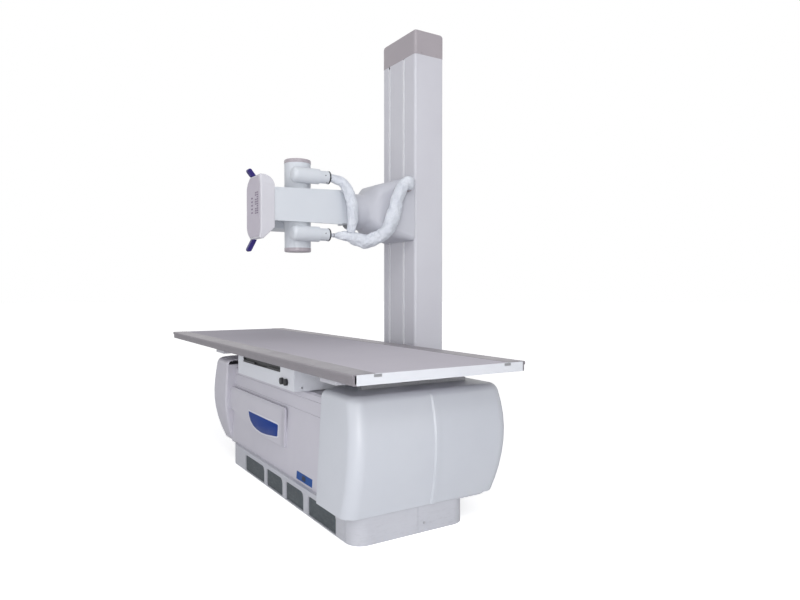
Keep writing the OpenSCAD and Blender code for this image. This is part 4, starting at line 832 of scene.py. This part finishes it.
def column_details():
    """Near-white liners along the cheeks of the column's two slits, their colour a painted highlight for the
    lit cheeks, and a dark disc as painted shade at the top of one slit.
    """
    strips = []
    for x in SLIT_XS:
        for side in (-1, 1):
            inner, edge, outer = x + side * 0.0055, x + side * 0.0064, x + side * 0.0088
            for a, b, back in ((inner, edge, 0.0104), (edge, outer, 0.0006)):
                strips.append(block((min(a, b), SLIT_FACE_Y, SLIT_FOOT_Z),
                                    (max(a, b), SLIT_FACE_Y + back, SLIT_TOP_Z)))
    # Painted highlight: the liners' near-white stands in for the lit cheeks.
    joined("slit_highlight_liners", strips, "trolley", "strip")
    # Painted shade: a dark graphite disc stands in for the shaded open end at the top of one slit.
    screw = disc((SLIT_XS[0], SLIT_FACE_Y, SLIT_TOP_Z - 0.006), 0.0052, 0.0016, "Y", 24)
    joined("slit_end_painted_shade", [screw], "trolley", "nut")


def label_details():
    """A blank dark window in the blue label."""
    left, right, bottom, top = 0.6135, 0.6465, 0.1125, 0.1315
    work = bmesh.new()
    corners = [(left, bottom), (right, bottom), (right, top), (left, top)]
    front = [work.verts.new((x, panel_face(z) - 0.0009, z)) for x, z in corners]
    back = [work.verts.new((x, panel_face(z) - 0.0003, z)) for x, z in corners]
    work.faces.new(front)
    work.faces.new(back[::-1])
    for k in range(4):
        n = (k + 1) % 4
        work.faces.new((front[n], front[k], back[k], back[n]))
    mesh = bpy.data.meshes.new("label_window")
    work.to_mesh(mesh)
    work.free()
    joined("label_window", [mesh], "table_base", "window_blue")


def nut_faces():
    """The plugs' nuts are dark, from the end of each plug on."""
    mesh = bpy.data.objects["cable_plugs_eased"].data
    mesh.materials.append(M["nut"])
    for face in mesh.polygons:
        if face.center.y > 0.0485:
            face.material_index = 1


def badge_border():
    """The badge's pale border, set into the edge of its front face."""
    mesh = bpy.data.objects["badge_plate_eased"].data
    mesh.materials.append(M["rim"])
    work = bmesh.new()
    work.from_mesh(mesh)
    front = max(work.faces, key=lambda face: face.calc_area() * -face.normal.y)
    area = front.calc_area()
    bmesh.ops.inset_individual(work, faces=[front], thickness=0.006, depth=0.0)
    for face in work.faces:
        face.material_index = 1
    inner = min((face for face in work.faces if face.calc_area() > 0.5 * area and face.normal.y < -0.5),
                key=lambda face: face.calc_center_median().y)
    inner.material_index = 0
    work.to_mesh(mesh)
    work.free()


console_details()
nut_faces()
badge_border()
plug_details()
collimator_details()
column_details()
label_details()


# ---------------------------------------------------------------- studio

def studio():
    """A white world, a pale floor that keeps the soft shadow, and three softboxes."""
    world = bpy.data.worlds.new("studio")
    scene.world = world
    world.use_nodes = True
    tree = world.node_tree
    tree.nodes.clear()
    out = tree.nodes.new("ShaderNodeOutputWorld")
    rays = tree.nodes.new("ShaderNodeLightPath").outputs
    seen = maths(tree, "MAXIMUM", maths(tree, "MAXIMUM", rays["Is Camera Ray"], rays["Is Glossy Ray"]),
                 rays["Is Transmission Ray"])
    white = put(tree, "Background", Color=(1, 1, 1, 1), Strength=1.0)
    towards = put(tree, "TexCoord").outputs["Generated"]
    side = put(tree, "SeparateXYZ", Vector=towards).outputs["X"]
    soft = put(tree, "Background", Color=(0.97, 0.98, 1.0, 1))
    tree.links.new(spread(tree, side, -0.7, 0.7, 0.3, 0.78), soft.inputs["Strength"])
    mix = put(tree, "MixShader", Fac=seen)
    tree.links.new(soft.outputs[0], mix.inputs[1])
    tree.links.new(white.outputs[0], mix.inputs[2])
    tree.links.new(mix.outputs[0], out.inputs["Surface"])

    mesh = bpy.data.meshes.new("studio_floor")
    work = bmesh.new()
    bmesh.ops.create_circle(work, cap_ends=True, segments=96, radius=40)
    work.to_mesh(mesh)
    work.free()
    floor = bpy.data.objects.new("studio_floor", mesh)
    floor.location = (0.3, 0, -0.0005)
    scene.collection.objects.link(floor)
    material, tree, shader, place = blank("floor_white")
    shader.inputs["Roughness"].default_value = 0.9
    shader.inputs["Base Color"].default_value = (0.9, 0.9, 0.9, 1)
    rays = tree.nodes.new("ShaderNodeLightPath").outputs
    glow = put(tree, "Emission", Color=(1, 1, 1, 1), Strength=0.6)
    both = tree.nodes.new("ShaderNodeAddShader")
    tree.links.new(shader.outputs[0], both.inputs[0])
    tree.links.new(glow.outputs[0], both.inputs[1])
    pick = put(tree, "MixShader", Fac=rays["Is Camera Ray"])
    tree.links.new(shader.outputs[0], pick.inputs[1])
    tree.links.new(both.outputs[0], pick.inputs[2])
    tree.links.new(pick.outputs[0], tree.nodes["Material Output"].inputs["Surface"])
    mesh.materials.append(material)

    for name, place, aim, size, power in [
        ("key_softbox", (3.4, -1.9, 0.82), (0.3, 0.1, 0.85), 1.5, 36),
        ("high_softbox", (2.2, -0.7, 2.8), (0.7, -0.1, 0.6), 1.6, 17),
        ("front_softbox", (0.9, -3.8, 1.5), (0.2, 0.3, 1.0), 2.2, 18),
    ]:
        lamp = bpy.data.lights.new(name, "AREA")
        lamp.shape = "DISK"
        lamp.size = size
        lamp.energy = power
        light = bpy.data.objects.new(name, lamp)
        light.location = place
        light.rotation_mode = "QUATERNION"
        light.rotation_quaternion = (Vector(aim) - Vector(place)).to_track_quat("-Z", "Y")
        scene.collection.objects.link(light)
    scene.view_settings.view_transform = "Standard"


studio()
